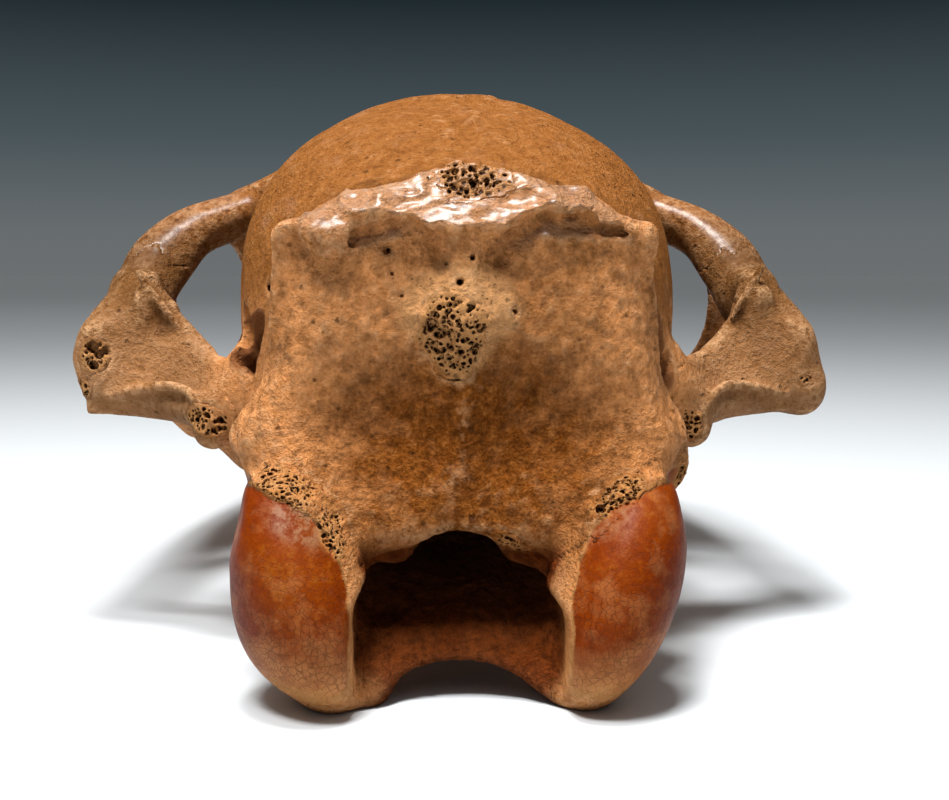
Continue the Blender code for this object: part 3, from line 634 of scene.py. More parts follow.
# %% Small canals
def foramen(bone, mouth, radius, side, inward=(0, 6, 0)):
    """A small canal for a nerve or vessel."""
    mouth = np.array(mouth, float)
    inward = np.array(inward, float)
    bone.cut(bar([mouth - inward * 0.8, mouth + inward], [radius, radius * 0.7]), 0.5, side)


# side, mouth (x is counted from the middle), radius
REAR_FORAMINA = [
    (-1, (1.6, 12, 91.5), 1.0), (-1, (14.1, 16, 88.5), 0.85), (1, (10.4, 14, 85.3), 0.8),
    (1, (9.8, 14, 83.2), 0.6), (-1, (11.6, 15, 86.6), 0.5), (1, (1.0, 13, 96.6), 0.6),
    (-1, (17.1, 16, 98.3), 0.65), (-1, (16.3, 16, 93.4), 0.5), (-1, (39.4, 27, 72.2), 1.0),
    (1, (42.3, 30, 69.5), 0.8), (-1, (44.5, 38, 90), 1.1), (-1, (49, 50, 99), 0.9),
]


def small_canals(bone):
    for side, mouth, radius in REAR_FORAMINA:
        foramen(bone, mouth, radius, side)


print(len(REAR_FORAMINA), "small canals at the back of the head")

# %% [markdown]
# ## Nerve canals and ear
# A skull is full of openings for nerves and vessels, and they are what makes one look real from the
# side: the ear opening, the slits in the eye socket, the large canal on the cheek and the two at the
# front of the palate. They are cut after everything else, so that nothing fills them again.

# %% Canals on both sides
# what it is, points of the rod, radii, blend
CANALS = [
    ("cheek canal", [(64, 330, 71), (54, 322, 70)], [(3.2, 5.5), (3, 4)], 1.2),
    ("canal above the eye", [(66, 158, 126), (62, 160, 114)], [2.6, 2.2], 0.8),
    ("upper slit of the eye nerve", [(46, 158, 66), (34, 152, 60)], [(3.0, 6), (2.6, 4)], 1.2),
    ("lower slit of the eye nerve", [(48, 172, 60), (36, 168, 56)], [(3.4, 4.5), (2.6, 3.4)], 1.2),
    ("tear canal", [(50, 208, 96), (44, 216, 94)], [2.4, 2.0], 0.8),
    ("ear", [(58, 52, 57), (44, 54, 53)], [(4.2, 4.2), (3.6, 3.6)], 1.5),
    ("canal of the tongue nerve", [(20, 44, 8), (20, 42, 24)], [2.6, 2.2], 1.0),
    ("torn hole", [(26, 82, 22), (22, 86, 40)], [(6.5, 4.5), (5, 3.5)], 2.5),
    ("palate canal", [(22, 372, 6), (22, 366, 22)], [2.4, 2.0], 1.0),
    ("palate slit", [(11, 452, 18), (10, 478, 18)], [(9, 3.0), (9, 2.4)], 1.0),
    ("hole beside the base", [(9, 76, 30), (9, 110, 38)], [(3, 3), (3, 3)], 2.0),
]


def canals(bone):
    for _, points, radii, blend in CANALS:
        bone.cut(bar(points, radii), blend)
    # two more dents in the side of the brain case, above the ear
    bone.cut(egg((52.5, 62, 80), (2.6, 7, 5.5)), 1.0)
    bone.cut(bar([(51, 50, 72), (45, 56, 70)], [(3.4, 2.2), (2, 1.6)]), 0.8)


print("canals on each side:", ", ".join(name for name, *_ in CANALS))

# %% [markdown]
# ## The whole skull
# The order matters: bulk first, then the cavities, then the tooth sockets and the canals. The brain
# case of this skull leans about two millimetres to the right, so the points are moved sideways before
# they are asked.

# %% One distance for the whole skull
def leaning(points):
    """How far the brain case leans to the right, in mm, at each point."""
    rise = np.clip((points[:, 2] - 35) / 50, 0, 1)
    rear = np.clip((190 - points[:, 1]) / 60, 0, 1)
    inner = np.clip((78 - np.abs(points[:, 0])) / 16, 0, 1)
    return 1.9 * rise * rise * (3 - 2 * rise) * rear * inner


STEPS = (braincase, occiput, boss_and_hollows, condyles_and_base, cheek_arch, arch_corners, eye_socket,
         face, face_cavities, great_hole, sockets, canals, small_canals)


def sound_distance(points):
    """Distance to the skull as it was before pieces of its skin broke away."""
    points = points.copy()
    points[:, 0] -= leaning(points)
    bone = Bone(points)
    for step in STEPS:
        step(bone)
    return np.maximum(bone.d, FLOOR_TRIM - points[:, 2])


measure("whole skull", *STEPS)
print("distance at the middle of the brain:", sound_distance(np.array([[0.0, 92, 80]]))[0].round(1))

# %% [markdown]
# ## Roughness of the surface
# Up close bone is never smooth: broad dents from muscles, a grain of small pits, and on the crest
# coarse lumps where the neck was tied on. Noise makes these. A value is drawn for each corner of
# a box of cells and blended smoothly in between, and several sizes are laid over each other.

# %% Noise
CORNERS = np.array([(x, y, z) for x in (0, 1) for y in (0, 1) for z in (0, 1)])
LATTICE_SIZE = 48
LATTICE = np.random.default_rng(11).uniform(-1, 1, (LATTICE_SIZE, LATTICE_SIZE, LATTICE_SIZE))
TILTED = turned(31, 47, 13)


def noise(points, size, shift=0.0):
    """Smooth noise from -1 to 1 whose lumps are about this many mm wide."""
    place = points @ TILTED / size + shift
    cell = np.floor(place).astype(int)
    part = place - cell
    part = part * part * (3 - 2 * part)
    total = np.zeros(len(points))
    for corner in CORNERS:
        weight = np.abs(1 - corner - part).prod(1)
        at = (cell + corner) % LATTICE_SIZE
        total += weight * LATTICE[at[:, 0], at[:, 1], at[:, 2]]
    return total


print("noise of 5 mm along the crest:", noise(np.array([[x, 14.0, 108.0] for x in range(5)]), 5.0).round(2))

# %% [markdown]
# ## Places that differ
# How much the surface moves and what colour it has depends on the place: rough on the occiput and the
# crest, hardly any roughness on the condyles. So the places are written as soft masks first: 1 inside,
# 0 outside, fading between. The same masks steer the shape here and the finish further down, so a rough
# place and its colour always agree. Noise shifts their borders, because stains have no straight edges.

# %% Soft masks
def fade(value, start, end):
    """0 at start, 1 at end, smooth in between; start may be the larger."""
    t = np.clip((value - start) / (end - start), 0, 1)
    return t * t * (3 - 2 * t)


def within(points, centre, radii, soft=0.3, tilt=(0, 0, 0)):
    """1 inside an egg-shaped place, 0 outside it."""
    local = (points - np.array(centre, float)) @ turned(*tilt)
    return fade(np.sqrt(((local / np.array(radii, float)) ** 2).sum(1)), 1 + soft, 1 - soft)


# upper border of the joint surface of a condyle: distance from the middle line, height
JOINT_BORDER = np.array([(22.4, 14), (22.9, 26), (24.8, 33.5), (27.6, 39.5), (31.2, 43.6), (36.4, 46.6),
                         (42.0, 48.4), (52, 49.5)])


def regions(points):
    """How much each point belongs to the places that differ in shape and finish."""
    x, y, z = points.T
    side = np.abs(x)
    folded = np.stack([side, y, z], 1)
    wobble = noise(points, 6.0) * 1.2 + noise(points, 2.2) * 0.6
    border = np.interp(side, *JOINT_BORDER.T)
    upright = np.stack([np.abs(x - leaning(points)), y, z], 1)
    slit = np.where(x < 0, LEFT_SLIT[0](upright), RIGHT_SLIT[0](upright))
    joint = fade(z + wobble * 0.5, border + 0.8, border - 0.8) * fade(side + wobble * 0.3, 22.4, 23.4)
    joint *= fade(y, 36, 26) * fade(z + wobble * 1.6, 2, 9)
    return {
        "condyle": joint,
        "dome": fade(y + 0.4 * z, 66, 74) * fade(z + wobble, 70, 96),
        "plate": fade(y, 40, 30) * fade(z, 28, 40) * (1 - joint),
        "crest": within(folded, (0, 14, 108.5), (41, 12, 10), 0.3) * fade(z + 0.13 * side, 98, 102),
        "inner": fade(side, 24.5, 22) * fade(z, 37, 31) * fade(y, 3, 8) * fade(y, 90, 70),
        "strut": within(folded, (76, 130, 104), (30, 26, 20), 0.4),
        "arch": fade(side, 54, 64) * fade(y, 135, 115),
        "boss": within(points, (0.5, 13, 83), (13.5, 9, 13), 0.18) * fade(z - 1.15 * side + wobble, 66, 70),
        # the brown place low on the plate: partly the bone's stain, partly painted shade
        "brown": within(points, (3, 16, 53), (29, 60, 21), 0.75) * (1 - joint),
        "abraded": np.maximum(within(points, (-33, -2, 41.5), (7.5, 14, 3.2), 0.5, (0, 25, 0)),
                              0.6 * within(points, (31, -2, 41.5), (6, 14, 2.2), 0.5, (0, -35, 0))),
        # painted shade: dark inside the brain cavity behind the great hole and inside the slits
        "cavity": np.maximum(fade(side, 25, 22) * fade(z, 40, 34) * fade(y, 22, 48) * fade(y, 120, 110),
                             0.9 * fade(slit, 2.4, 0.6)),
    }


print("top of the crest:", {k: float(v[0].round(2)) for k, v in regions(np.array([[0.0, 14, 108]])).items()})

# %% [markdown]
# ## Weathering
# The noise is now scaled by the masks. Broad dents and grain are strongest on the occiput, knobs stand
# only on the crest, and along the top of the brain case the noise is stretched lengthwise, as the
# fibres of that bone run.

# %% How far the surface moves
def weathering(points, mask):
    """How far noise moves the surface outward, in mm."""
    joint, plate, crest = mask["condyle"], mask["plate"], mask["crest"]
    broad = noise(points, 15.0, 3.0) * 0.5 + noise(points, 7.0, 5.0) * 0.3
    grain = noise(points, 2.6, 1.0) * 0.5 + noise(points, 1.4, 2.0) * 0.5
    stretched = points * (0.55, 1, 1)
    knobs = np.abs(noise(stretched, 4.6, 8.0)) + 0.45 * np.abs(noise(stretched, 2.0, 9.0)) - 0.35
    moved = broad * (1 - 0.9 * joint) * (0.30 + 0.75 * plate) * (1 - 0.7 * mask["strut"])
    moved += grain * (0.08 + 0.36 * plate + 0.35 * mask["inner"]) * (1 - joint) * (1 - 0.5 * mask["dome"])
    moved -= knobs * crest * 1.2
    lengthwise = within(points, (6, 85, 138), (17, 65, 30), 0.6)
    moved += lengthwise * (0.7 * noise(points * (1, 0.25, 1), 4.5) + 0.3 * noise(points, 2.5))
    return moved * fade(points[:, 2], 0.5, 4)


middle_of_plate = np.array([[20.0, 14, 62]])
plate_moves = weathering(middle_of_plate, regions(middle_of_plate))[0]
print("one point of the plate moves by", plate_moves.round(2), "mm")

# %% [markdown]
# ## Broken and spongy places
# Under its hard skin, bone is a sponge. Where the skin has broken away the pores show: at the top of
# the crest, on the boss, above each condyle and at the corner of the left arch. The pores are finer
# than the mesh of the skull can show. So each break is a shallow bed cut out of the skull, and a plug
# of spongy bone, made on its own much finer grid, fills the bed.

# %% Where the skin is broken
# name: middle x and z, half width and half height, turn in degrees, size of the pores, and extra large
# pores (x, z, radius)
BREAKS = {
    "crest_break": (3.2, 113.2, 8.0, 4.2, -2, 1.35,
                    [(-1.8, 110.4, 0.9), (3.2, 112.4, 0.9), (7.8, 111.8, 0.8)]),
    "boss_break": (-0.8, 80.4, 7.4, 8.4, -14, 1.15,
                   [(-5.8, 82.4, 1.7), (-4.0, 80.4, 1.5), (-7.2, 80.6, 1.0), (-5.0, 84.4, 0.9),
                    (2.8, 86.4, 1.0), (1.6, 84.8, 0.8), (-2.0, 77.6, 1.0), (0.4, 76.4, 0.9),
                    (3.6, 77.8, 0.8), (1.4, 73.2, 0.9), (6.4, 80.4, 0.8)]),
    "left_condyle_break": (-36.2, 48.2, 8.6, 2.9, 22, 0.9, []),
    "left_condyle_inner_break": (-27.0, 39.8, 2.3, 6.4, -24, 0.95,
                                 [(-26.6, 37.6, 0.9), (-26.4, 34.8, 0.8)]),
    "right_condyle_break": (34.0, 46.4, 7.0, 2.2, -34, 0.9, [(29.8, 43.4, 1.0)]),
    "notch_break": (11.8, 35.0, 4.4, 1.4, 32, 0.95, []),
    "left_arch_break": (-91.0, 72.4, 3.6, 4.4, 14, 1.6,
                        [(-91.6, 74.6, 1.7), (-90.0, 72.6, 1.4), (-91.4, 69.8, 1.3), (-88.4, 73.6, 1.1)]),
    "left_arch_corner_break": (-94.2, 63.6, 2.2, 2.8, 28, 1.3, []),
    "left_jaw_stop_break": (-60.4, 57.0, 5.6, 3.4, 8, 1.35, [(-57.0, 57.4, 0.8), (-60.4, 58.6, 0.8)]),
    "right_jaw_stop_break": (58.8, 55.6, 3.4, 4.0, 0, 1.35, []),
    "right_edge_break": (52.4, 47.0, 2.0, 4.2, 0, 1.3, []),
    "right_arch_break": (93.0, 65.6, 1.7, 1.2, 0, 1.0, []),
}
BED_DEPTH = 3.2
PORE_DEPTH = 2.2                # deeper pores would never be seen


def first_surface(x, z):
    """The y at which someone looking from behind would touch the skull at this x and z."""
    y = np.arange(-14, 110, 0.25)
    depth = sound_distance(np.stack([np.full(len(y), x), y, np.full(len(y), z)], 1))
    hits = np.nonzero(depth < 0)[0]
    return y[hits[0]] if len(hits) else np.nan


BREAK_Y = {name: first_surface(x, z) for name, (x, z, *_) in BREAKS.items()}
print("depth of the surface at each break, mm:", {name: float(y) for name, y in BREAK_Y.items()})

# %% [markdown]
# ## A bed for each plug
# Bone never breaks along a clean oval, so noise makes the outline ragged. The bed goes a few
# millimetres below the surface and no deeper, whatever way the surface turns.

# %% Bed in the skull
def break_outline(points, name):
    """Distance in mm to the ragged outline of a break, seen from behind, and places around its middle."""
    x, z, half_width, half_height, turn, _, _ = BREAKS[name]
    local = (points - (x, BREAK_Y[name], z)) @ turned(0, turn, 0)
    rho = np.sqrt((local[:, 0] / half_width) ** 2 + (local[:, 2] / half_height) ** 2)
    narrow = min(half_width, half_height)
    ragged = (rho - 1) * narrow + (0.4 + 0.24 * narrow) * noise(points, 3.6) + 0.5 * noise(points, 1.3)
    return np.maximum(ragged, np.abs(local[:, 1]) - 9), local


def near_break(points, name, extra=2.0):
    """Which points stand close enough to a break to be touched by it."""
    x, z, half_width, half_height, *_ = BREAKS[name]
    reach = max(half_width, half_height) + extra
    return np.nonzero((np.abs(points[:, 0] - x) < reach) & (np.abs(points[:, 2] - z) < reach)
                      & (np.abs(points[:, 1] - BREAK_Y[name]) < 11))[0]


def skull_distance(points):
    """The skull with a bed cut out at every break."""
    distance = sound_distance(points)
    for name in BREAKS:
        near = near_break(points, name)
        if len(near):
            outline, _ = break_outline(points[near], name)
            bed = np.maximum(outline, -BED_DEPTH - distance[near])
            distance[near] = np.maximum(distance[near], -bed)
    return distance


print(len(BREAKS), "beds, each", BED_DEPTH, "mm deep")

# %% [markdown]
# ## Spongy bone
# A plug is a solid with many small balls cut out of it, close enough for thin walls to stay between
# them. One ball sits in each cell of a box of cells, nudged off its middle and of its own size, so no
# pattern shows. The balls shrink toward the outline, where the sponge goes over into hard skin.

# %% Plug of spongy bone
AROUND = np.array([(i, j, k) for i in (-1, 0, 1) for j in (-1, 0, 1) for k in (-1, 0, 1)])
POOL = 40                       # the drawn cells repeat after this many, which is wider than any plug


def pores(local, name):
    """Distance to the nearest pore."""
    _, _, half_width, half_height, _, pore, _ = BREAKS[name]
    draw = np.random.default_rng(sorted(BREAKS).index(name) + 5)
    nudge = draw.uniform(-0.38, 0.38, (POOL, POOL, POOL, 3))
    share = 0.62 - 0.44 * draw.uniform(0, 1, (POOL, POOL, POOL)) ** 2
    local = local + 0.32 * pore * noise(local, 1.3 * pore)[:, None]
    cell = np.floor(local / pore).astype(int)
    hole = np.full(len(local), FAR)
    for step in AROUND:
        at = cell + step
        i, j, k = (at % POOL).T
        middle = (at + 0.5 + nudge[i, j, k]) * pore
        rho = np.sqrt((middle[:, 0] / half_width) ** 2 + (middle[:, 2] / half_height) ** 2)
        radius = pore * share[i, j, k] * np.clip(2.5 * (1.2 - rho), 0, 1)
        away = np.sqrt(((local - middle) ** 2).sum(1)) - radius
        hole = np.minimum(hole, np.where(radius > 0.2, away, FAR))
    return hole


def plug_distance(points, name):
    """The plug: the outer few mm of the skull within the outline, with its pores cut out."""
    outline, local = break_outline(points, name)
    distance = sound_distance(points)
    distance -= weathering(points, regions(points))
    tucked = distance - 0.04 + 0.8 * np.clip(outline - 0.5, 0, 2)
    solid = np.maximum(np.maximum(tucked, outline - 1.3), -BED_DEPTH - 0.6 - distance)
    hole = pores(local, name)
    *_, large_pores = BREAKS[name]
    for big_x, big_z, radius in large_pores:
        off = (points - (big_x, BREAK_Y[name] + 0.6, big_z)) / (1, 2.2, 1)
        hole = np.minimum(hole, np.sqrt((off ** 2).sum(1)) - radius + 0.25 * noise(points, 1.1))
    hole = np.maximum(hole, -PORE_DEPTH - distance)
    return np.maximum(solid, -hole)


print("pores are from", min(row[5] for row in BREAKS.values()), "to",
      max(row[5] for row in BREAKS.values()), "mm apart and at most", PORE_DEPTH, "mm deep")

# %% [markdown]
# ## Which bone is it?
# Real skulls are some thirty bones grown together. The model keeps twelve of them apart, so that each
# can be picked on its own. The borders between them are tilted planes that follow the real sutures,
# and sine waves make them wander a little, as sutures do.

# %% Bone names and borders
BONES = ["occipital_bone", "occipital_condyle_left", "occipital_condyle_right", "braincase",
         "skull_base", "frontal_bone", "zygomatic_arch_left", "zygomatic_arch_right",
         "nasal_bones", "maxilla_left", "maxilla_right", "premaxilla"]
(OCCIPITAL, CONDYLE_LEFT, CONDYLE_RIGHT, BRAINCASE, BASE, FRONTAL, ARCH_LEFT, ARCH_RIGHT,
 NASAL, JAW_LEFT, JAW_RIGHT, PREMAXILLA) = range(12)


def which_bone(x, y, z):
    """The number of the bone that each point belongs to."""
    y = y + 1.5 * np.sin(0.55 * x + 0.8 * np.sin(0.23 * x)) + 0.6 * np.sin(1.7 * x)
    right = x + 0.8 * np.sin(0.6 * y) > 0
    side = np.abs(x) + 0.8 * np.sin(0.5 * y)
    bone = np.where(y < 118, BRAINCASE, np.where(z > 88, FRONTAL, BASE))
    arch = np.where(right, ARCH_RIGHT, ARCH_LEFT)
    brow = (y - 131) * 0.233 + (z - 92.5) * 0.972
    bone = np.where((y >= 118) & (side > 61), np.where(brow > 0, FRONTAL, arch), bone)
    root = (side - 55.5) * 0.961 - (z - 68) * 0.276
    bone = np.where((y < 118) & (root > 0), arch, bone)
    bone = np.where((y - 44) * 0.956 + (z - 65) * 0.292 < 0, OCCIPITAL, bone)
    rim = (side - 37.5) * -0.677 + (z - 47.0) * 0.736
    condyle = (rim < 0) & (y < 14) & (side > 20)
    bone = np.where(condyle, np.where(right, CONDYLE_RIGHT, CONDYLE_LEFT), bone)
    bone = np.where(y > 203, np.where(right, JAW_RIGHT, JAW_LEFT), bone)
    above = (y - 310) * 0.213 + (z - 103) * 0.977
    bone = np.where((y > 203) & (above > 0) & (side < 25.4), NASAL, bone)
    muzzle = (y - 393) * 0.970 + (z - 40) * 0.242
    return np.where((muzzle > 0) & (bone != NASAL), PREMAXILLA, bone).astype(np.int8)


print("the tip of the nose is", BONES[which_bone(*np.array([[0.0], [478], [81]]))[0]])

# %% [markdown]
# ## From distances to meshes
# The distance is asked for on a grid, and wherever it changes sign between two grid points the surface
# passes. A grid cell with such a change gets one vertex, at the middle of its crossings, and four
# cells round a crossing edge share a face. This gives even quads with no slivers. The grid is fine at
# the back, which is seen most closely, and coarser along the face.

# %% A grid that is finer where it matters
FINE = 0.78
LONG = 2.0
COARSE = 4


def spread(start, stop, spacing_at):
    """Places from start to stop, each the local spacing after the one before."""
    marks = [start]
    while marks[-1] < stop or (len(marks) - 1) % COARSE:
        marks.append(marks[-1] + spacing_at(marks[-1]))
    return np.array(marks)


def spacing_along(y):
    return FINE + (LONG - FINE) * min(max((y - 105) / 40, 0), 1)


GRID = [spread(-103, 103, lambda x: FINE),
        spread(-14, 545, spacing_along),
        spread(-2.5 * FINE, 151, lambda z: FINE)]
print("grid:", [len(axis) for axis in GRID], "points")

# %% [markdown]
# ## Asking only near the surface
# Most grid points are far inside or far outside, and asking all of them would take many minutes. So
# a grid that is four times coarser is asked first, and only the points near the surface are asked
# again. Where the bone would touch itself only along an edge, the gap is closed, because such an
# edge would have four faces and the mesh could not be printed.

# %% Distances near the surface only
CHUNK = 300000                  # points asked at a time, which keeps the memory small


def sampled(distance, grid):
    """The distance at each grid point, exact near the surface."""
    coarse = [axis[::COARSE] for axis in grid]
    points = np.stack(np.meshgrid(*coarse, indexing="ij"), -1).reshape(-1, 3)
    value = np.clip(distance(points).reshape([len(a) for a in coarse]), -12, 12).astype(np.float32)
    for axis in range(3):
        value = np.moveaxis(value, axis, 0)
        wide = np.empty((len(grid[axis]),) + value.shape[1:], np.float32)
        wide[::COARSE] = value
        for s in range(1, COARSE):
            wide[s::COARSE] = value[:-1] * (1 - s / COARSE) + value[1:] * (s / COARSE)
        value = np.moveaxis(wide, 0, axis)
    value = np.ascontiguousarray(value)
    widest = np.gradient(grid[1]) * COARSE
    band = np.nonzero(np.abs(value) < (0.62 * widest + 0.6)[None, :, None])
    points = np.stack([grid[i][band[i]] for i in range(3)], 1)
    exact = np.empty(len(points), np.float32)
    for start in range(0, len(points), CHUNK):
        exact[start:start + CHUNK] = distance(points[start:start + CHUNK])
    value[band] = exact
    return value


def close_diagonals(value, shallow):
    """Fills grid points where the bone would touch itself only along an edge."""
    for first, second in ((0, 1), (0, 2), (1, 2)) * 4:
        v = np.moveaxis(value, (first, second), (0, 1))
        a, b, c, d = v[:-1, :-1], v[:-1, 1:], v[1:, :-1], v[1:, 1:]
        falling = (a < 0) & (d < 0) & (b >= 0) & (c >= 0)
        rising = (b < 0) & (c < 0) & (a >= 0) & (d >= 0)
        b[falling] = -shallow
        a[rising] = -shallow


def ball(points):
    return np.linalg.norm(points, axis=-1) - 5


TEST_GRID = [np.arange(-8.0, 9.0)] * 3
test_value = sampled(ball, TEST_GRID)
print("a ball of 5 mm fills", (test_value < 0).sum(), "of", test_value.size, "grid points")

# %% [markdown]
# ## Closed pieces that share their border
# A grid point inside the skull carries the number of its bone and a point outside carries -1. A face
# stands wherever two neighbouring points differ, so each bone comes out closed, and two bones that
# touch share the very same vertices. No crack can open between them.

# %% One vertex in each cell that the surface crosses
def cell_vertices(value, label, grid):
    """The vertices, and for each grid cell the number of its vertex."""
    count = np.array(label.shape)
    low = label[:-1, :-1, :-1].copy()
    high = low.copy()
    for x, y, z in CORNERS[1:]:
        part = label[x:count[0] - 1 + x, y:count[1] - 1 + y, z:count[2] - 1 + z]
        np.minimum(low, part, out=low)
        np.maximum(high, part, out=high)
    cell = np.array(np.nonzero(low != high)).T
    on_skin = (low[tuple(cell.T)] < 0)
    names = np.stack([label[tuple((cell + corner).T)] for corner in CORNERS], 1)
    depth = np.stack([value[tuple((cell + corner).T)] for corner in CORNERS], 1)
    place, crossings = np.zeros((len(cell), 3)), np.zeros(len(cell))
    for a in range(8):
        for b in range(a + 1, 8):
            if np.abs(CORNERS[a] - CORNERS[b]).sum() != 1:
                continue
            outer = (names[:, a] < 0) != (names[:, b] < 0)
            cross = np.where(on_skin, outer, names[:, a] != names[:, b])
            t = np.where(outer, depth[:, a] / np.where(outer, depth[:, a] - depth[:, b], 1), 0.5)
            spot = CORNERS[a] + np.clip(t, 0.02, 0.98)[:, None] * (CORNERS[b] - CORNERS[a])
            place += np.where(cross[:, None], spot, 0)
            crossings += cross
    place /= crossings[:, None]
    vertices = np.stack([grid[i][cell[:, i]] * (1 - place[:, i]) + grid[i][cell[:, i] + 1] * place[:, i]
                         for i in range(3)], 1)
    number = np.full(count - 1, -1, np.int32)
    number[tuple(cell.T)] = np.arange(len(cell))
    return vertices, number

# %% Faces between unlike points
def faces_between(label, number):
    """Quads, and for each quad the label on its inner and its outer side."""
    count = label.shape
    quads, inner, outer = [], [], []
    for axis in range(3):
        one, two = [i for i in range(3) if i != axis]
        near = [slice(1, count[i] - 1) for i in range(3)]
        near[axis] = slice(0, count[axis] - 1)
        far = list(near)
        far[axis] = slice(1, count[axis])
        first, second = label[tuple(near)], label[tuple(far)]
        edge = np.array(np.nonzero(first != second)).T
        first, second = first[tuple(edge.T)], second[tuple(edge.T)]
        turn = second > first
        if axis == 1:
            turn = ~turn
        edge[:, one] += 1
        edge[:, two] += 1
        face = []
        for back_one, back_two in ((0, 0), (1, 0), (1, 1), (0, 1)):
            corner = edge.copy()
            corner[:, one] -= back_one
            corner[:, two] -= back_two
            face.append(number[tuple(corner.T)])
        face = np.stack(face, 1)
        face[turn] = face[turn][:, ::-1]
        quads.append(face)
        inner.append(np.maximum(first, second))
        outer.append(np.minimum(first, second))
    return np.concatenate(quads), np.concatenate(inner), np.concatenate(outer)


def surface_of(value, label, grid):
    """Vertices, quads, and for each quad the label on its inner and its outer side."""
    vertices, number = cell_vertices(value, label, grid)
    return (vertices, *faces_between(label, number))


test_label = np.where(test_value < 0, 0, -1).astype(np.int8)
print("and gets", len(surface_of(test_value, test_label, TEST_GRID)[1]), "faces")

# %% [markdown]
# ## The skin of the skull
# Now the whole skull is asked, each point inside is given the number of its bone, and the faces are
# made in one go.

# %% Work out the skin of the skull
value = sampled(skull_distance, GRID)
close_diagonals(value, FINE / 4)
inside = np.nonzero(value < 0)
label = np.full(value.shape, -1, np.int8)
label[inside] = which_bone(*[GRID[i][inside[i]] for i in range(3)])
skin, quads, inner, outer = surface_of(value, label, GRID)
del value, label, inside
print(len(skin), "vertices and", len(quads), "faces before displacement")

# %% [markdown]
# ## Normals, hollows and the final skin
# Each vertex moves along its normal by the roughness worked out above. Before that the skin is
# averaged a little, which takes out the faint terraces that the grid leaves. The same averaging,
# carried much further, tells where hollows are: there the averaged skin lies outside the real one.

# %% Normals and averages
def normals_of(vertices, faces):
    across = vertices[faces[:, 2]] - vertices[faces[:, 0]]
    along = vertices[faces[:, 3]] - vertices[faces[:, 1]]
    flat = np.cross(across, along)
    total = np.stack([sum(np.bincount(faces[:, k], flat[:, i], len(vertices)) for k in range(4))
                      for i in range(3)], 1)
    return total / np.maximum(np.linalg.norm(total, axis=1), 1e-9)[:, None]


def averaged(values, faces, rounds, share=1.0):
    """Each vertex moves by this share toward the mean of its neighbours, so many times over."""
    ends = np.concatenate([faces[:, [0, 1]], faces[:, [1, 2]], faces[:, [2, 3]], faces[:, [3, 0]]])
    count = np.bincount(ends[:, 0], minlength=len(values))[:, None]
    for _ in range(rounds):
        mean = np.stack([np.bincount(ends[:, 0], values[ends[:, 1], i], len(values))
                         for i in range(values.shape[1])], 1) / np.maximum(count, 1)
        values = np.where(count > 0, values + share * (mean - values), values)
    return values


def hollows(vertices, faces, rounds):
    """How far each vertex lies below the averaged surface, in mm."""
    return ((averaged(vertices, faces, rounds) - vertices) * normals_of(vertices, faces)).sum(1)

# %% Finish the skin
skin_quads = quads[outer < 0]
skin = averaged(skin, skin_quads, 2, 0.5)
moved = weathering(skin, regions(skin))
skin = skin + normals_of(skin, skin_quads) * moved[:, None]
skin[:, 2] = np.maximum(skin[:, 2], FLOOR_TRIM)
hollow = hollows(skin, skin_quads, 14)
print("skin moved by", moved.min().round(2), "to", moved.max().round(2), "mm")

# %% [markdown]
# ## Pieces
# Each bone's faces become one object. The masks go along as attributes of its vertices, so that the
# finish can read them. Faces against a neighbouring bone are inside the skull; they are flat shaded,
# which keeps them from bending the shading of the outside at the border.

# %% A piece from arrays
def new_piece(name, vertices, faces, walls, masks, material):
    """Skull millimetres become scene metres. walls marks the faces that are shaded flat."""
    used, numbers = np.unique(faces, return_inverse=True)
    spots = (vertices[used] - (0, MIDDLE_OF_LENGTH, FLOOR_TRIM)) * MILLIMETRE
    mesh = bpy.data.meshes.new(name)
    mesh.vertices.add(len(spots))
    mesh.vertices.foreach_set("co", spots.astype(np.float32).ravel())
    mesh.loops.add(faces.size)
    mesh.loops.foreach_set("vertex_index", numbers.astype(np.int32).ravel())
    mesh.polygons.add(len(faces))
    mesh.polygons.foreach_set("loop_start", np.arange(len(faces), dtype=np.int32) * 4)
    mesh.update(calc_edges=True)
    flat = mesh.attributes.new("sharp_face", "BOOLEAN", "FACE")
    flat.data.foreach_set("value", walls)
    for mask, values in masks.items():
        attribute = mesh.attributes.new(mask, "FLOAT", "POINT")
        attribute.data.foreach_set("value", values[used].astype(np.float32))
    mesh.materials.append(material)
    piece = bpy.data.objects.new(name, mesh)
    bpy.context.scene.collection.objects.link(piece)
    return piece


print("the skull is shifted by", MIDDLE_OF_LENGTH, "mm along y to stand in the middle of the scene")

# %% [markdown]
# ## Cheek teeth
# A horse grinds grass, and its upper cheek teeth are tall prisms with a square face. Folded enamel
# runs round each tooth and round two half moons inside it, and stands a little above the softer
# dentine, like a file. Upright ribs mark the cheek side. A row is one piece, mirrored for the left.

# %% Cheek teeth
def oval_ring(x, y, centre, radii, thickness):
    """1 on an oval line of this thickness, 0 off it."""
    u, v = (x - centre[0]) / radii[0], (y - centre[1]) / radii[1]
    away = np.abs(np.sqrt(u * u + v * v) - 1) * min(radii)
    return fade(away, thickness, thickness * 0.45)


# each rib or groove of a tooth: x and y from its middle, radius
RIBS = ((10.6, -11.2, 2.0), (11.0, -0.3, 1.8), (10.4, 10.6, 1.5), (-9.2, -2.0, 4.2))
GROOVES = ((13.4, -5.8, 3.0), (13.2, 5.0, 3.0), (-13.0, 4.6, 3.0))


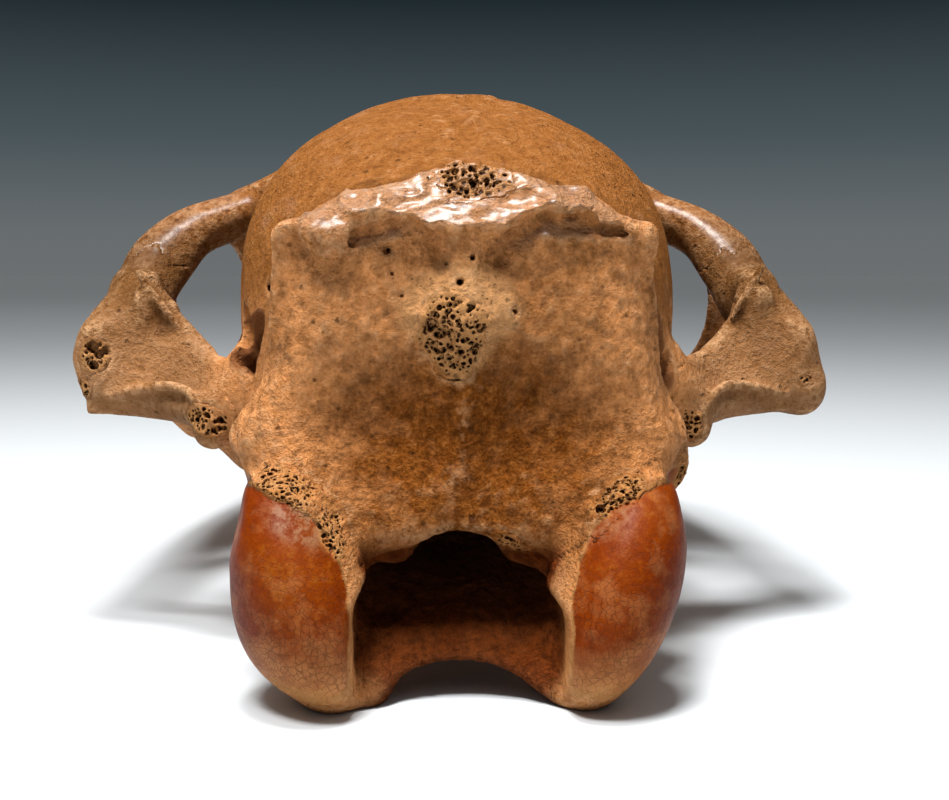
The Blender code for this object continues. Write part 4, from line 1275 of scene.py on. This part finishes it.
def tooth_row(points):
    """Distance to the right row of cheek teeth, and how much of each point is enamel."""
    _, y, z = points.T
    distance = np.full(len(points), FAR)
    enamel = np.zeros(len(points))
    for number in range(CHEEK_TEETH):
        cx, cy = cheek_tooth_place(number)
        near = np.nonzero(np.abs(y - cy) < 18)[0]
        p = points[near] * (1, 1, 0) + (0, 0, 12)
        ridge = 0.25 * np.sin(p[:, 1] * 1.9) + 0.2 * np.sin(p[:, 0] * 2.3)
        prism = block((cx, cy, 12), (11.2, 13.1, 30), 3)[0](p)
        for dx, dy, r in RIBS:
            prism = smooth_min(prism, np.hypot(p[:, 0] - cx - dx, p[:, 1] - cy - dy) - r, 1.2)
        for dx, dy, r in GROOVES:
            prism = -smooth_min(-prism, np.hypot(p[:, 0] - cx - dx, p[:, 1] - cy - dy) - r, 1.0)
        rings = fade(np.abs(-prism - 1.1 + ridge * 0.5), 0.75, 0.35)
        for dy in (-6.0, 6.2):
            bend = 0.10 * (p[:, 1] - cy - dy) ** 2
            rings = np.maximum(rings, oval_ring(p[:, 0] + bend + ridge, p[:, 1], (cx + 3.4, cy + dy),
                                                (2.6, 4.6), 0.8))
        closer = prism < distance[near]
        distance[near] = np.where(closer, prism, distance[near])
        enamel[near] = np.where(closer, rings, enamel[near])
    worn = FLOOR_TRIM + 0.9 * (1 - enamel)
    distance = np.maximum(distance, worn - z)
    return np.maximum(distance, z - 20), enamel


print("a cheek tooth is", TOOTH_LENGTH, "mm long, with", len(RIBS), "ribs and", len(GROOVES), "grooves")

# %% [markdown]
# ## Incisors
# The six incisors stand in an arc at the end of the muzzle and lean forward. Each has a cup in its
# worn face, and how worn the cups are tells a horse's age. The left three mirror the right three.

# %% Incisors, and both kinds of teeth as meshes
def incisor_distance(points):
    bone = Bone(points)
    for root, neck, edge in incisor_places():
        bone.add(bar([root, neck, edge], [(5.0, 6.6), (5.0, 6.3), (4.5, 5.7)], (*root[:2], 5)), 0.5)
        bone.cut(egg((edge[0], edge[1], 0), (1.9, 1.9, 1.6)), 0.5)
    return np.maximum(bone.d, FLOOR_TRIM - points[:, 2])


TOOTH_STEP = 0.8


def small_mesh(distance, low, high, step):
    """Vertices and faces of one closed thing on an even grid of its own."""
    grid = [spread(a, b, lambda place: step) for a, b in zip(low, high)]
    value = sampled(distance, grid)
    close_diagonals(value, step / 4)
    vertices, faces, _, _ = surface_of(value, np.where(value < 0, 0, -1).astype(np.int8), grid)
    return vertices, faces


row_vertices, row_faces = small_mesh(lambda p: tooth_row(p)[0], (28, 222, -2), (62, 394, 22), TOOTH_STEP)
front_vertices, front_faces = small_mesh(incisor_distance, (-42, 500, -2), (42, 548, 26), TOOTH_STEP)
print("one row of cheek teeth:", len(row_faces), "faces; incisors:", len(front_faces))

# %% [markdown]
# ## Finish of the bone
# Bone that has lain in the ground takes up iron and turns orange brown. Three tones are told apart: the
# occiput is a dull tan, the dome a darker orange brown, and the condyles a deep red brown with a fine
# net of cracks. The darker dome is partly painted shade. A painted picture could do this too, but it
# would need unfolding, and it would blur close up. Noise and the masks give a finish that is sharp at
# any distance, and one material for the whole skull leaves no seam of colour between two bones. First
# come a few helpers that add one node and its links in a single call.

# %% Small helpers for node trees
def add_node(tree, kind, inputs, **settings):
    node = tree.nodes.new("ShaderNode" + kind)
    for key, setting in settings.items():
        setattr(node, key, setting)
    for key, given in inputs.items():
        if isinstance(given, bpy.types.NodeSocket):
            tree.links.new(given, node.inputs[key])
        else:
            node.inputs[key].default_value = given
    return node


def mixed(tree, factor, first, second, blend="MIX"):
    """first where factor is 0, second where it is 1. Colours are sockets or three numbers."""
    node = add_node(tree, "Mix", {0: factor}, data_type="RGBA", blend_type=blend)
    for slot, given in ((6, first), (7, second)):
        if isinstance(given, bpy.types.NodeSocket):
            tree.links.new(given, node.inputs[slot])
        else:
            node.inputs[slot].default_value = (*given, 1)
    return node.outputs[2]


def sums(tree, operation, first, second=0.0, clamp=False):
    return add_node(tree, "Math", {0: first, 1: second}, operation=operation, use_clamp=clamp).outputs[0]


def times(tree, *values):
    """The product of several values, kept between 0 and 1."""
    product = values[0]
    for value in values[1:]:
        product = sums(tree, "MULTIPLY", product, value, True)
    return product


def ranged(tree, value, low, high, to_low=0.0, to_high=1.0):
    """The value, with low to high stretched to to_low to to_high."""
    return add_node(tree, "MapRange", {"Value": value, "From Min": low, "From Max": high,
                                       "To Min": to_low, "To Max": to_high}).outputs[0]


def ramp(tree, value, *stops):
    """Stops are (place, colour)."""
    node = add_node(tree, "ValToRGB", {"Fac": value})
    points = node.color_ramp.elements
    while len(points) < len(stops):
        points.new(0.5)
    for point, (place, colour) in zip(points, stops):
        point.position = place
        point.color = (*colour, 1)
    return node.outputs[0]


def clouds(tree, place, size, detail=4.0, rough=0.55):
    """Noise from 0 to 1 with lumps about this many mm wide."""
    return add_node(tree, "TexNoise", {"Vector": place, "Scale": 1 / size, "Detail": detail,
                                       "Roughness": rough}).outputs[0]


LENGTHWISE = 0.65               # below 1, patches are stretched along the skull


def start_material(name):
    """A material, its tree, its shader and the place on the object in mm."""
    material = bpy.data.materials.new(name)
    material.use_nodes = True
    tree = material.node_tree
    place = add_node(tree, "TexCoord", {}).outputs["Object"]
    stretch = (1 / MILLIMETRE, LENGTHWISE / MILLIMETRE, 1 / MILLIMETRE)
    place = add_node(tree, "VectorMath", {0: place, 1: stretch}, operation="MULTIPLY").outputs[0]
    return material, tree, tree.nodes["Principled BSDF"], place


print("patches are", round(1 / LENGTHWISE, 2), "times as long as they are wide")

# %% [markdown]
# ## Stained bone
# Three colour ramps, tan, orange and brown, are read with the same mix of three sizes of noise and
# blended by the masks. Sharing the noise keeps the patches running on where one tone goes
# over into the next. The arches are a little cooler and darker, and the boss is paler. The brown low on
# the plate and the darker orange of the dome are each partly stain and partly painted shade.

# %% Tan, orange and brown
def bone_colour(tree, place, mask, noises):
    """Stained bone with some painted shade: tan, orange, brown and dark places blended by the masks and
    clouds.
    """
    broad, patches, mottle, grain = noises
    tone = sums(tree, "ADD", sums(tree, "MULTIPLY", patches, 0.26), sums(tree, "MULTIPLY", mottle, 0.40))
    tone = sums(tree, "ADD", tone, sums(tree, "MULTIPLY", grain, 0.34))
    tan = ramp(tree, tone, (0.36, (0.31, 0.118, 0.030)), (0.46, (0.47, 0.188, 0.060)),
               (0.55, (0.54, 0.232, 0.084)), (0.66, (0.62, 0.31, 0.14)))
    orange = ramp(tree, tone, (0.36, (0.105, 0.032, 0.005)), (0.46, (0.187, 0.064, 0.012)),
                  (0.55, (0.228, 0.084, 0.019)), (0.67, (0.31, 0.150, 0.060)))
    brown = ramp(tree, tone, (0.36, (0.060, 0.014, 0.001)), (0.46, (0.125, 0.033, 0.003)),
                 (0.55, (0.20, 0.062, 0.009)), (0.68, (0.36, 0.15, 0.042)))
    # the dome takes the darker orange ramp: partly its own tone, partly painted shade that holds down the
    # stronger light on top
    colour = mixed(tree, mask["dome"], tan, orange)
    colour = mixed(tree, ranged(tree, broad, 0.45, 0.62, 0.0, 0.4), colour, orange)
    colour = mixed(tree, mask["arch"], colour, (0.54, 0.61, 0.72), "MULTIPLY")
    grey = ranged(tree, clouds(tree, place, 11.0, 6, 0.7), 0.55, 0.70, 0.0, 0.35)
    colour = mixed(tree, grey, colour, (0.30, 0.150, 0.080))
    # the brown low on the plate, partly stain and partly painted shade
    blotch = sums(tree, "ADD", sums(tree, "MULTIPLY", mask["brown"], 1.15),
                  ranged(tree, patches, 0.38, 0.62, -0.28, 0.28), True)
    colour = mixed(tree, times(tree, blotch, ranged(tree, mask["brown"], 0.0, 0.35)), colour, brown)
    return mixed(tree, times(tree, mask["boss"], 0.65), colour, (0.60, 0.31, 0.125))

# %% [markdown]
# ## Joint surfaces
# The condyles are dense bone that took up more iron, so they are deep red above and paler toward the
# floor, with a brown line along their border, a net of hairline cracks and a few rubbed places. A
# Voronoi texture gives the distance to the edge of its cells, and a narrow range of that is a crack.

# %% Colour and cracks of the condyles
def joint_colour(tree, noises, height):
    """Dense joint bone: deep red above, paler and browner toward the floor."""
    broad, patches, mottle, _ = noises
    tone = sums(tree, "ADD", sums(tree, "MULTIPLY", broad, 0.5), sums(tree, "MULTIPLY", mottle, 0.5))
    red = ramp(tree, tone, (0.36, (0.080, 0.008, 0.0003)), (0.48, (0.122, 0.016, 0.0003)),
               (0.58, (0.155, 0.025, 0.0006)), (0.70, (0.21, 0.055, 0.004)))
    pale = sums(tree, "ADD", ranged(tree, height, 21.0, 2.0, 0.0, 0.95),
                ranged(tree, patches, 0.35, 0.65, -0.2, 0.2), True)
    return mixed(tree, pale, red, (0.44, 0.190, 0.065))


def crack_lines(tree, place, mask, patches, height):
    """A net of hairline cracks on the joint surfaces, strongest low down."""
    bent = add_node(tree, "TexNoise", {"Vector": place, "Scale": 0.8, "Detail": 2.0}).outputs["Color"]
    bent = add_node(tree, "VectorMath", {0: place, 1: bent}).outputs[0]
    cells = add_node(tree, "TexVoronoi", {"Vector": bent, "Scale": 0.66}, feature="DISTANCE_TO_EDGE")
    line = ranged(tree, cells.outputs["Distance"], 0.0, 0.055, 1.0, 0.0)
    return times(tree, line, mask["condyle"], ranged(tree, patches, 0.32, 0.55, 0.25, 0.95),
                 ranged(tree, height, 40.0, 16.0, 0.25, 0.95))


def with_joints(tree, mask, noises, height, crack, colour):
    """The joint surfaces with their border, cracks and rubbed places, laid over the bone."""
    _, _, mottle, _ = noises
    joint = mask["condyle"]
    colour = mixed(tree, joint, colour, joint_colour(tree, noises, height))
    edge = times(tree, ranged(tree, joint, 0.05, 0.45), ranged(tree, joint, 0.98, 0.55))
    colour = mixed(tree, times(tree, edge, 0.6), colour, (0.33, 0.16, 0.05))
    colour = mixed(tree, times(tree, crack, 0.5), colour, (0.05, 0.012, 0.003))
    scratch = times(tree, mask["abraded"], ranged(tree, mottle, 0.44, 0.56))
    return mixed(tree, times(tree, scratch, 0.55), colour, (0.22, 0.125, 0.065))

# %% [markdown]
# ## Pits, dirt, painted shade and wear
# Old bone is peppered with pits too small for the mesh, and they are drawn dark as painted shade and
# also pressed in by the bump further down. Dirt and painted shade darken the hollows, the fine wrinkles
# get painted light and shade, and edges are rubbed pale. The hollow mask, measured on the mesh, tells
# hollows and edges apart: it is above 0 in a hollow and below 0 on an edge.

# %% Pits, dirt, painted shade and rubbed edges
def pits(tree, place, size, share, unevenness):
    """Round pits about this many mm apart; only this share of the cells has one."""
    dots = add_node(tree, "TexVoronoi", {"Vector": place, "Scale": 1 / size})
    away = sums(tree, "ADD", dots.outputs["Distance"], ranged(tree, unevenness, 0.3, 0.7, -0.1, 0.1))
    chance = add_node(tree, "SeparateColor", {0: dots.outputs["Color"]}).outputs[0]
    return times(tree, ranged(tree, away, 0.12, 0.26, 1.0, 0.0), ranged(tree, chance, share, share - 0.05))


def bone_pits(tree, place, mask, noises, bone):
    """Large and small pits, in patches. The boss has more of the small ones, the joints none."""
    _, patches, mottle, grain = noises
    large = times(tree, pits(tree, place, 2.6, 0.20, mottle), 0.8)
    small = times(tree, pits(tree, place, 1.0, 0.22, grain), ranged(tree, mask["boss"], 0, 1, 0.35, 1))
    pit = sums(tree, "ADD", large, small, True)
    return times(tree, pit, bone, ranged(tree, patches, 0.40, 0.56, 0.1, 1.0))


def with_wear(tree, mask, mottle, bone, pit, wrinkles, dirt_and_shade, colour):
    """Painted shade in the pits, painted light and shade on the wrinkles, dirt and painted shade in the
    hollows, and rubbed edges, laid over the colour in this order.
    """
    # painted shade in the pits: each pit is darkened
    colour = mixed(tree, times(tree, pit, 0.8), colour, (0.05, 0.017, 0.006))
    # painted light and shade of the fine wrinkles on the plate and the dome: darker in their low parts,
    # lighter on their high parts
    rugged = sums(tree, "ADD", mask["plate"], times(tree, mask["dome"], 0.35), True)
    wrinkle_light_and_shade = ranged(tree, wrinkles, 0.36, 0.60, 0.50, 1.16)
    colour = mixed(tree, times(tree, rugged, bone, 0.8), colour, wrinkle_light_and_shade, "MULTIPLY")
    # dirt and painted shade: the hollows are darkened
    colour = mixed(tree, times(tree, dirt_and_shade, 0.55), colour, (0.135, 0.046, 0.012))
    rubbed = times(tree, ranged(tree, mask["hollow"], -0.08, -0.5), ranged(tree, mottle, 0.4, 0.6), bone)
    return mixed(tree, times(tree, rubbed, 0.5), colour, (0.56, 0.32, 0.16))

# %% [markdown]
# ## Crest, cavities and sponge
# The crest is paler and greyer with dark stains, the inner wall of the great hole is a very dark red, and
# spongy bone is golden on its thin walls. Painted shade darkens the brain cavity, the slits and the pores
# of the sponge.

# %% Colour of the crest, the cavities and the sponge
def with_crest_and_cavities(tree, place, mask, mottle, colour):
    colour = mixed(tree, times(tree, mask["crest"], 0.6), colour, (0.40, 0.20, 0.095))
    stain = ranged(tree, clouds(tree, place, 6.0, 5, 0.7), 0.55, 0.62)
    colour = mixed(tree, times(tree, mask["crest"], stain, 0.8), colour, (0.15, 0.070, 0.040))
    inside = ramp(tree, mottle, (0.38, (0.050, 0.007, 0.0002)), (0.62, (0.120, 0.019, 0.0004)))
    colour = mixed(tree, times(tree, mask["inner"], 0.92), colour, inside)
    # painted shade inside the brain cavity and the slits
    colour = mixed(tree, mask["cavity"], colour, (0.14, 0.045, 0.014))
    golden = times(tree, mask["sponge"], ranged(tree, mask["hollow"], 0.10, -0.25, 0.0, 0.5))
    colour = mixed(tree, golden, colour, (0.40, 0.18, 0.05))
    # painted shade deep in the pores of the spongy bone
    deep = times(tree, mask["sponge"], ranged(tree, mask["hollow"], 0.0, 0.45))
    return mixed(tree, deep, colour, (0.045, 0.017, 0.006))

# %% [markdown]
# ## Shine and fine relief
# Most of the bone is dull. The crest and the struts were polished by handling, so they get a clear
# coat whose weight follows the polish mask. A bump adds the relief that is finer than the mesh. It is
# strong on the crest, the plate and the inner wall and weak on the joint surfaces.

# %% Relief, and the whole finish
def fine_relief(tree, mask, mottle, grain, wrinkles, pit, crack):
    relief = times(tree, mottle, ranged(tree, mask["condyle"], 0.0, 1.0, 0.9, 0.10))
    relief = sums(tree, "ADD", relief, sums(tree, "MULTIPLY", grain,
                  ranged(tree, mask["condyle"], 0.0, 1.0, 0.35, 0.08)))
    rugged = sums(tree, "ADD", sums(tree, "MULTIPLY", mask["crest"], 1.3),
                  sums(tree, "MULTIPLY", mask["plate"], 1.7))
    rugged = sums(tree, "ADD", rugged, sums(tree, "MULTIPLY", mask["inner"], 2.0))
    relief = sums(tree, "ADD", relief, sums(tree, "MULTIPLY", wrinkles, rugged))
    relief = sums(tree, "SUBTRACT", relief, sums(tree, "MULTIPLY", pit, 0.8))
    relief = sums(tree, "SUBTRACT", relief, sums(tree, "MULTIPLY", crack, 0.10))
    return add_node(tree, "Bump", {"Strength": 0.8, "Distance": MILLIMETRE * 2.6, "Height": relief})


MASKS = ("condyle", "dome", "crest", "polish", "hollow", "sponge", "inner", "plate", "boss", "brown",
         "cavity", "abraded", "arch")


def fossil_bone():
    material, tree, shader, place = start_material("fossil_bone")
    mask = {name: add_node(tree, "Attribute", {}, attribute_name=name).outputs["Fac"] for name in MASKS}
    height = add_node(tree, "SeparateXYZ", {0: place}).outputs["Z"]
    noises = [clouds(tree, place, 22.0, 3), clouds(tree, place, 7.0, 5, 0.62),
              clouds(tree, place, 2.0, 5, 0.68), clouds(tree, place, 0.7, 3, 0.6)]
    _, patches, mottle, grain = noises
    wrinkles = clouds(tree, place, 3.0, 6, 0.66)
    bone = ranged(tree, mask["condyle"], 0.0, 0.8, 1.0, 0.0)
    crack = crack_lines(tree, place, mask, patches, height)
    pit = bone_pits(tree, place, mask, noises, bone)
    # dirt and painted shade: darker in the hollows, patchy with the mottle
    dirt_and_shade = sums(tree, "ADD", ranged(tree, mask["hollow"], 0.22, 0.95),
                ranged(tree, mottle, 0.35, 0.65, 0.25, -0.25), True)

    colour = bone_colour(tree, place, mask, noises)
    colour = with_joints(tree, mask, noises, height, crack, colour)
    colour = with_wear(tree, mask, mottle, bone, pit, wrinkles, dirt_and_shade, colour)
    colour = with_crest_and_cavities(tree, place, mask, mottle, colour)
    tree.links.new(colour, shader.inputs["Base Color"])

    shine = times(tree, mask["polish"], ranged(tree, mottle, 0.38, 0.58, 0.45, 1.0))
    rough = sums(tree, "ADD", ranged(tree, shine, 0.0, 1.0, 0.60, 0.34), times(tree, dirt_and_shade, 0.15))
    rough = sums(tree, "SUBTRACT", rough, times(tree, mask["condyle"], 0.15), True)
    tree.links.new(rough, shader.inputs["Roughness"])
    tree.links.new(shine, shader.inputs["Coat Weight"])
    shader.inputs["Coat Roughness"].default_value = 0.33
    shader.inputs["Specular IOR Level"].default_value = 0.03
    bump = fine_relief(tree, mask, mottle, grain, wrinkles, pit, crack)
    tree.links.new(bump.outputs[0], shader.inputs["Normal"])
    return material


bone_finish = fossil_bone()
print("fossil bone uses", len(bone_finish.node_tree.nodes), "nodes")

# %% [markdown]
# ## Finish of the teeth
# Enamel is dense and takes up little stain, so it stays pale and glossy, while dentine and the cement
# round it go dark brown. The streaks of the dentine run up the tooth, so the noise is stretched in z.

# %% Worn tooth
def worn_tooth():
    material, tree, shader, place = start_material("worn_tooth")
    enamel = add_node(tree, "Attribute", {}, attribute_name="enamel").outputs["Fac"]
    streaks = add_node(tree, "VectorMath", {0: place, 1: (1.0, 1.0, 0.18)}, operation="MULTIPLY").outputs[0]
    mottle = clouds(tree, streaks, 2.5, 5, 0.6)
    dentine = ramp(tree, mottle, (0.35, (0.10, 0.048, 0.022)), (0.55, (0.21, 0.115, 0.055)),
                   (0.72, (0.36, 0.23, 0.125)))
    colour = mixed(tree, enamel, dentine, (0.58, 0.45, 0.30))
    tree.links.new(colour, shader.inputs["Base Color"])
    tree.links.new(ranged(tree, enamel, 0.0, 1.0, 0.5, 0.25), shader.inputs["Roughness"])
    bump = add_node(tree, "Bump", {"Strength": 0.5, "Distance": MILLIMETRE * 0.5, "Height": mottle})
    tree.links.new(bump.outputs[0], shader.inputs["Normal"])
    return material


tooth_finish = worn_tooth()
print("worn tooth uses", len(tooth_finish.node_tree.nodes), "nodes")

# %% [markdown]
# ## Put the skull together
# Every piece rides on the one body there is, since a skull without its lower jaw has nothing that
# moves. Each bone stands for its plain node, and the teeth stand for the part of it they grow from.
# Before that, the masks are trimmed by which way the surface faces: the joint surface ends where the
# condyle turns away from the neck, and only the upper side of the crest was polished.

# %% Masks the finish reads
def finish_masks(points, normals, hollow, sponge):
    mask = regions(points)
    facing = fade(normals[:, 1] - 0.5 * normals[:, 0] * np.sign(points[:, 0]), 0.70, 0.40)
    mask["condyle"] = mask["condyle"] * facing
    mask["crest"] = mask["crest"] * fade(normals[:, 2], -0.15, 0.35)
    polish = np.maximum(0.5 * mask.pop("strut"), np.maximum(0.05 * mask["condyle"], 0.85 * mask["crest"]))
    polish *= 1 - 0.8 * sponge
    return {**mask, "polish": polish, "hollow": hollow, "sponge": sponge}


masks = finish_masks(skin, normals_of(skin, skin_quads), hollow, np.zeros(len(skin)))
print("joint share of the surface:", round(float(masks["condyle"].mean()), 4))

# %% Bones
SLOTS = {OCCIPITAL: "tan_bone", CONDYLE_LEFT: "condyle_bone", CONDYLE_RIGHT: "condyle_bone",
         BRAINCASE: "dome_bone", FRONTAL: "dome_bone"}
for number, name in enumerate(BONES):
    own, other = quads[inner == number], quads[(outer == number)][:, ::-1]
    faces = np.concatenate([own, other])
    walls = np.concatenate([outer[inner == number] >= 0, np.ones(len(other), bool)])
    piece = new_piece(name + "_detailed", skin, faces, walls, masks, bone_finish)
    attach(piece, "root")
    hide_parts(name)
    SLOTS.get(number, "tan_bone")
    print(name, len(faces), "faces")

# %% Plugs of spongy bone
PLUG_STEP = 0.26
plug_faces = 0
for name, (x, z, half_width, half_height, *_) in BREAKS.items():
    reach = max(half_width, half_height) + 1.5
    low, high = (x - reach, BREAK_Y[name] - 7, z - reach), (x + reach, BREAK_Y[name] + 9, z + reach)
    vertices, faces = small_mesh(lambda p: plug_distance(p, name), low, high, PLUG_STEP)
    if not len(faces):
        continue
    # how far each vertex lies down in a pore, which the finish also turns into painted shade
    deep = 8 * hollows(vertices, faces, 4)
    shown = fade(break_outline(vertices, name)[0], 0.3, -0.8)
    plug_masks = finish_masks(vertices, normals_of(vertices, faces), deep * shown, shown)
    piece = new_piece(name, vertices, faces, np.zeros(len(faces), bool), plug_masks, bone_finish)
    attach(piece, "root")
    plug_faces += len(faces)
print("plugs:", plug_faces, "faces")

# %% Teeth
_, row_enamel = tooth_row(row_vertices)
row_enamel *= fade(row_vertices[:, 2], 2.0, 1.2)
mirror = np.array([-1, 1, 1])
front_enamel = fade(front_vertices[:, 2], 14, 8) * 0.75
TEETH = [("cheek_teeth_right", row_vertices, row_faces, row_enamel, "maxilla_right"),
         ("cheek_teeth_left", row_vertices * mirror, row_faces[:, ::-1], row_enamel, "maxilla_left"),
         ("incisors", front_vertices, front_faces, front_enamel, "premaxilla")]
for name, vertices, faces, enamel, node in TEETH:
    piece = new_piece(name, vertices, faces, np.zeros(len(faces), bool), {"enamel": enamel}, tooth_finish)
    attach(piece, "root")
    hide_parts(node)
print("teeth:", ", ".join(name for name, *_ in TEETH))

# %% [markdown]
# ## Floor and background
# A pale floor and a background that darkens upward, as in a small studio. The floor is far larger
# than the view, so its edge is never seen. The background is a gradient by height above the
# horizon, which a shiny surface also mirrors.

# %% Floor and background
def plain_floor():
    half = 40.0
    mesh = bpy.data.meshes.new("floor")
    mesh.from_pydata([(-half, -half, 0), (half, -half, 0), (half, half, 0), (-half, half, 0)],
                     [], [(0, 1, 2, 3)])
    floor = bpy.data.objects.new("floor", mesh)
    bpy.context.scene.collection.objects.link(floor)
    material = bpy.data.materials.new("pale_paper")
    material.use_nodes = True
    shader = material.node_tree.nodes["Principled BSDF"]
    shader.inputs["Base Color"].default_value = (0.55, 0.575, 0.59, 1)
    shader.inputs["Roughness"].default_value = 0.6
    mesh.materials.append(material)
    return floor


def studio_air():
    world = bpy.data.worlds.new("studio")
    world.use_nodes = True
    bpy.context.scene.world = world
    tree = world.node_tree
    direction = add_node(tree, "TexCoord", {}).outputs["Generated"]
    height = add_node(tree, "SeparateXYZ", {0: direction}).outputs["Z"]
    colour = ramp(tree, height, (0.0, (0.150, 0.160, 0.165)), (0.03, (0.135, 0.150, 0.156)),
                  (0.09, (0.067, 0.089, 0.10)), (0.18, (0.014, 0.023, 0.027)),
                  (0.45, (0.06, 0.065, 0.07)), (0.8, (0.45, 0.45, 0.45)))
    tree.links.new(colour, tree.nodes["Background"].inputs["Color"])


plain_floor()
studio_air()
print("background:", bpy.context.scene.world.name)

# %% [markdown]
# ## Lamps
# Four lamps, each a glowing rectangle, so that shadows have soft edges. One hangs overhead, and a
# second, high and a little in front, makes the crest and the struts gleam and shows the relief of the
# plate. A weak one beside the camera fills the great hole, and one far away lights the floor at the
# back. Lamps from the front only would make the relief disappear.

# %% Soft lamps
bpy.context.scene.view_settings.view_transform = "Standard"


def soft_lamp(name, place, target, size, watts):
    lamp = bpy.data.lights.new(name, "AREA")
    lamp.shape = "RECTANGLE"
    lamp.size, lamp.size_y = size
    lamp.energy = watts
    thing = bpy.data.objects.new(name, lamp)
    thing.location = place
    aim = Vector(target) - Vector(place)
    thing.rotation_euler = aim.to_track_quat("-Z", "Y").to_euler()
    bpy.context.scene.collection.objects.link(thing)
    print(name, "gives", watts, "W from", round(aim.length, 2), "m away")


soft_lamp("overhead", (-0.04, -0.36, 1.0), (0, -0.22, 0.05), (0.26, 0.18), 14)
soft_lamp("high_front", (-0.28, -0.72, 1.30), (0, -0.22, 0.05), (0.36, 0.26), 25)
soft_lamp("beside_camera", (-0.25, -2.2, 0.85), (0, -0.25, 0.07), (2.2, 1.4), 1.6)
soft_lamp("far_side", (-0.5, 2.4, 2.2), (-0.1, 1.8, 0), (1.2, 1.2), 3.5)

# %% [markdown]
# ## Camera
# The camera stands close behind the skull, so the arches, which lie further away, look small beside
# the condyles. Its lens is given by how far, counted in pixels, the picture lies behind the lens.

# %% Camera
PICTURE_WIDTH = 949
FOCAL_PIXELS = 1458.0
SENSOR_WIDTH = 36.0
camera = bpy.data.cameras.new("camera")
camera.sensor_width = SENSOR_WIDTH
camera.lens = SENSOR_WIDTH * FOCAL_PIXELS / PICTURE_WIDTH
camera.clip_start = 0.01
viewer = bpy.data.objects.new("camera", camera)
viewer.location = (-0.0096, -0.56595, 0.0932)
viewer.rotation_euler = (radians(85.0), 0, radians(-2.4))
bpy.context.scene.collection.objects.link(viewer)
bpy.context.scene.camera = viewer
print("lens:", round(camera.lens, 1), "mm")
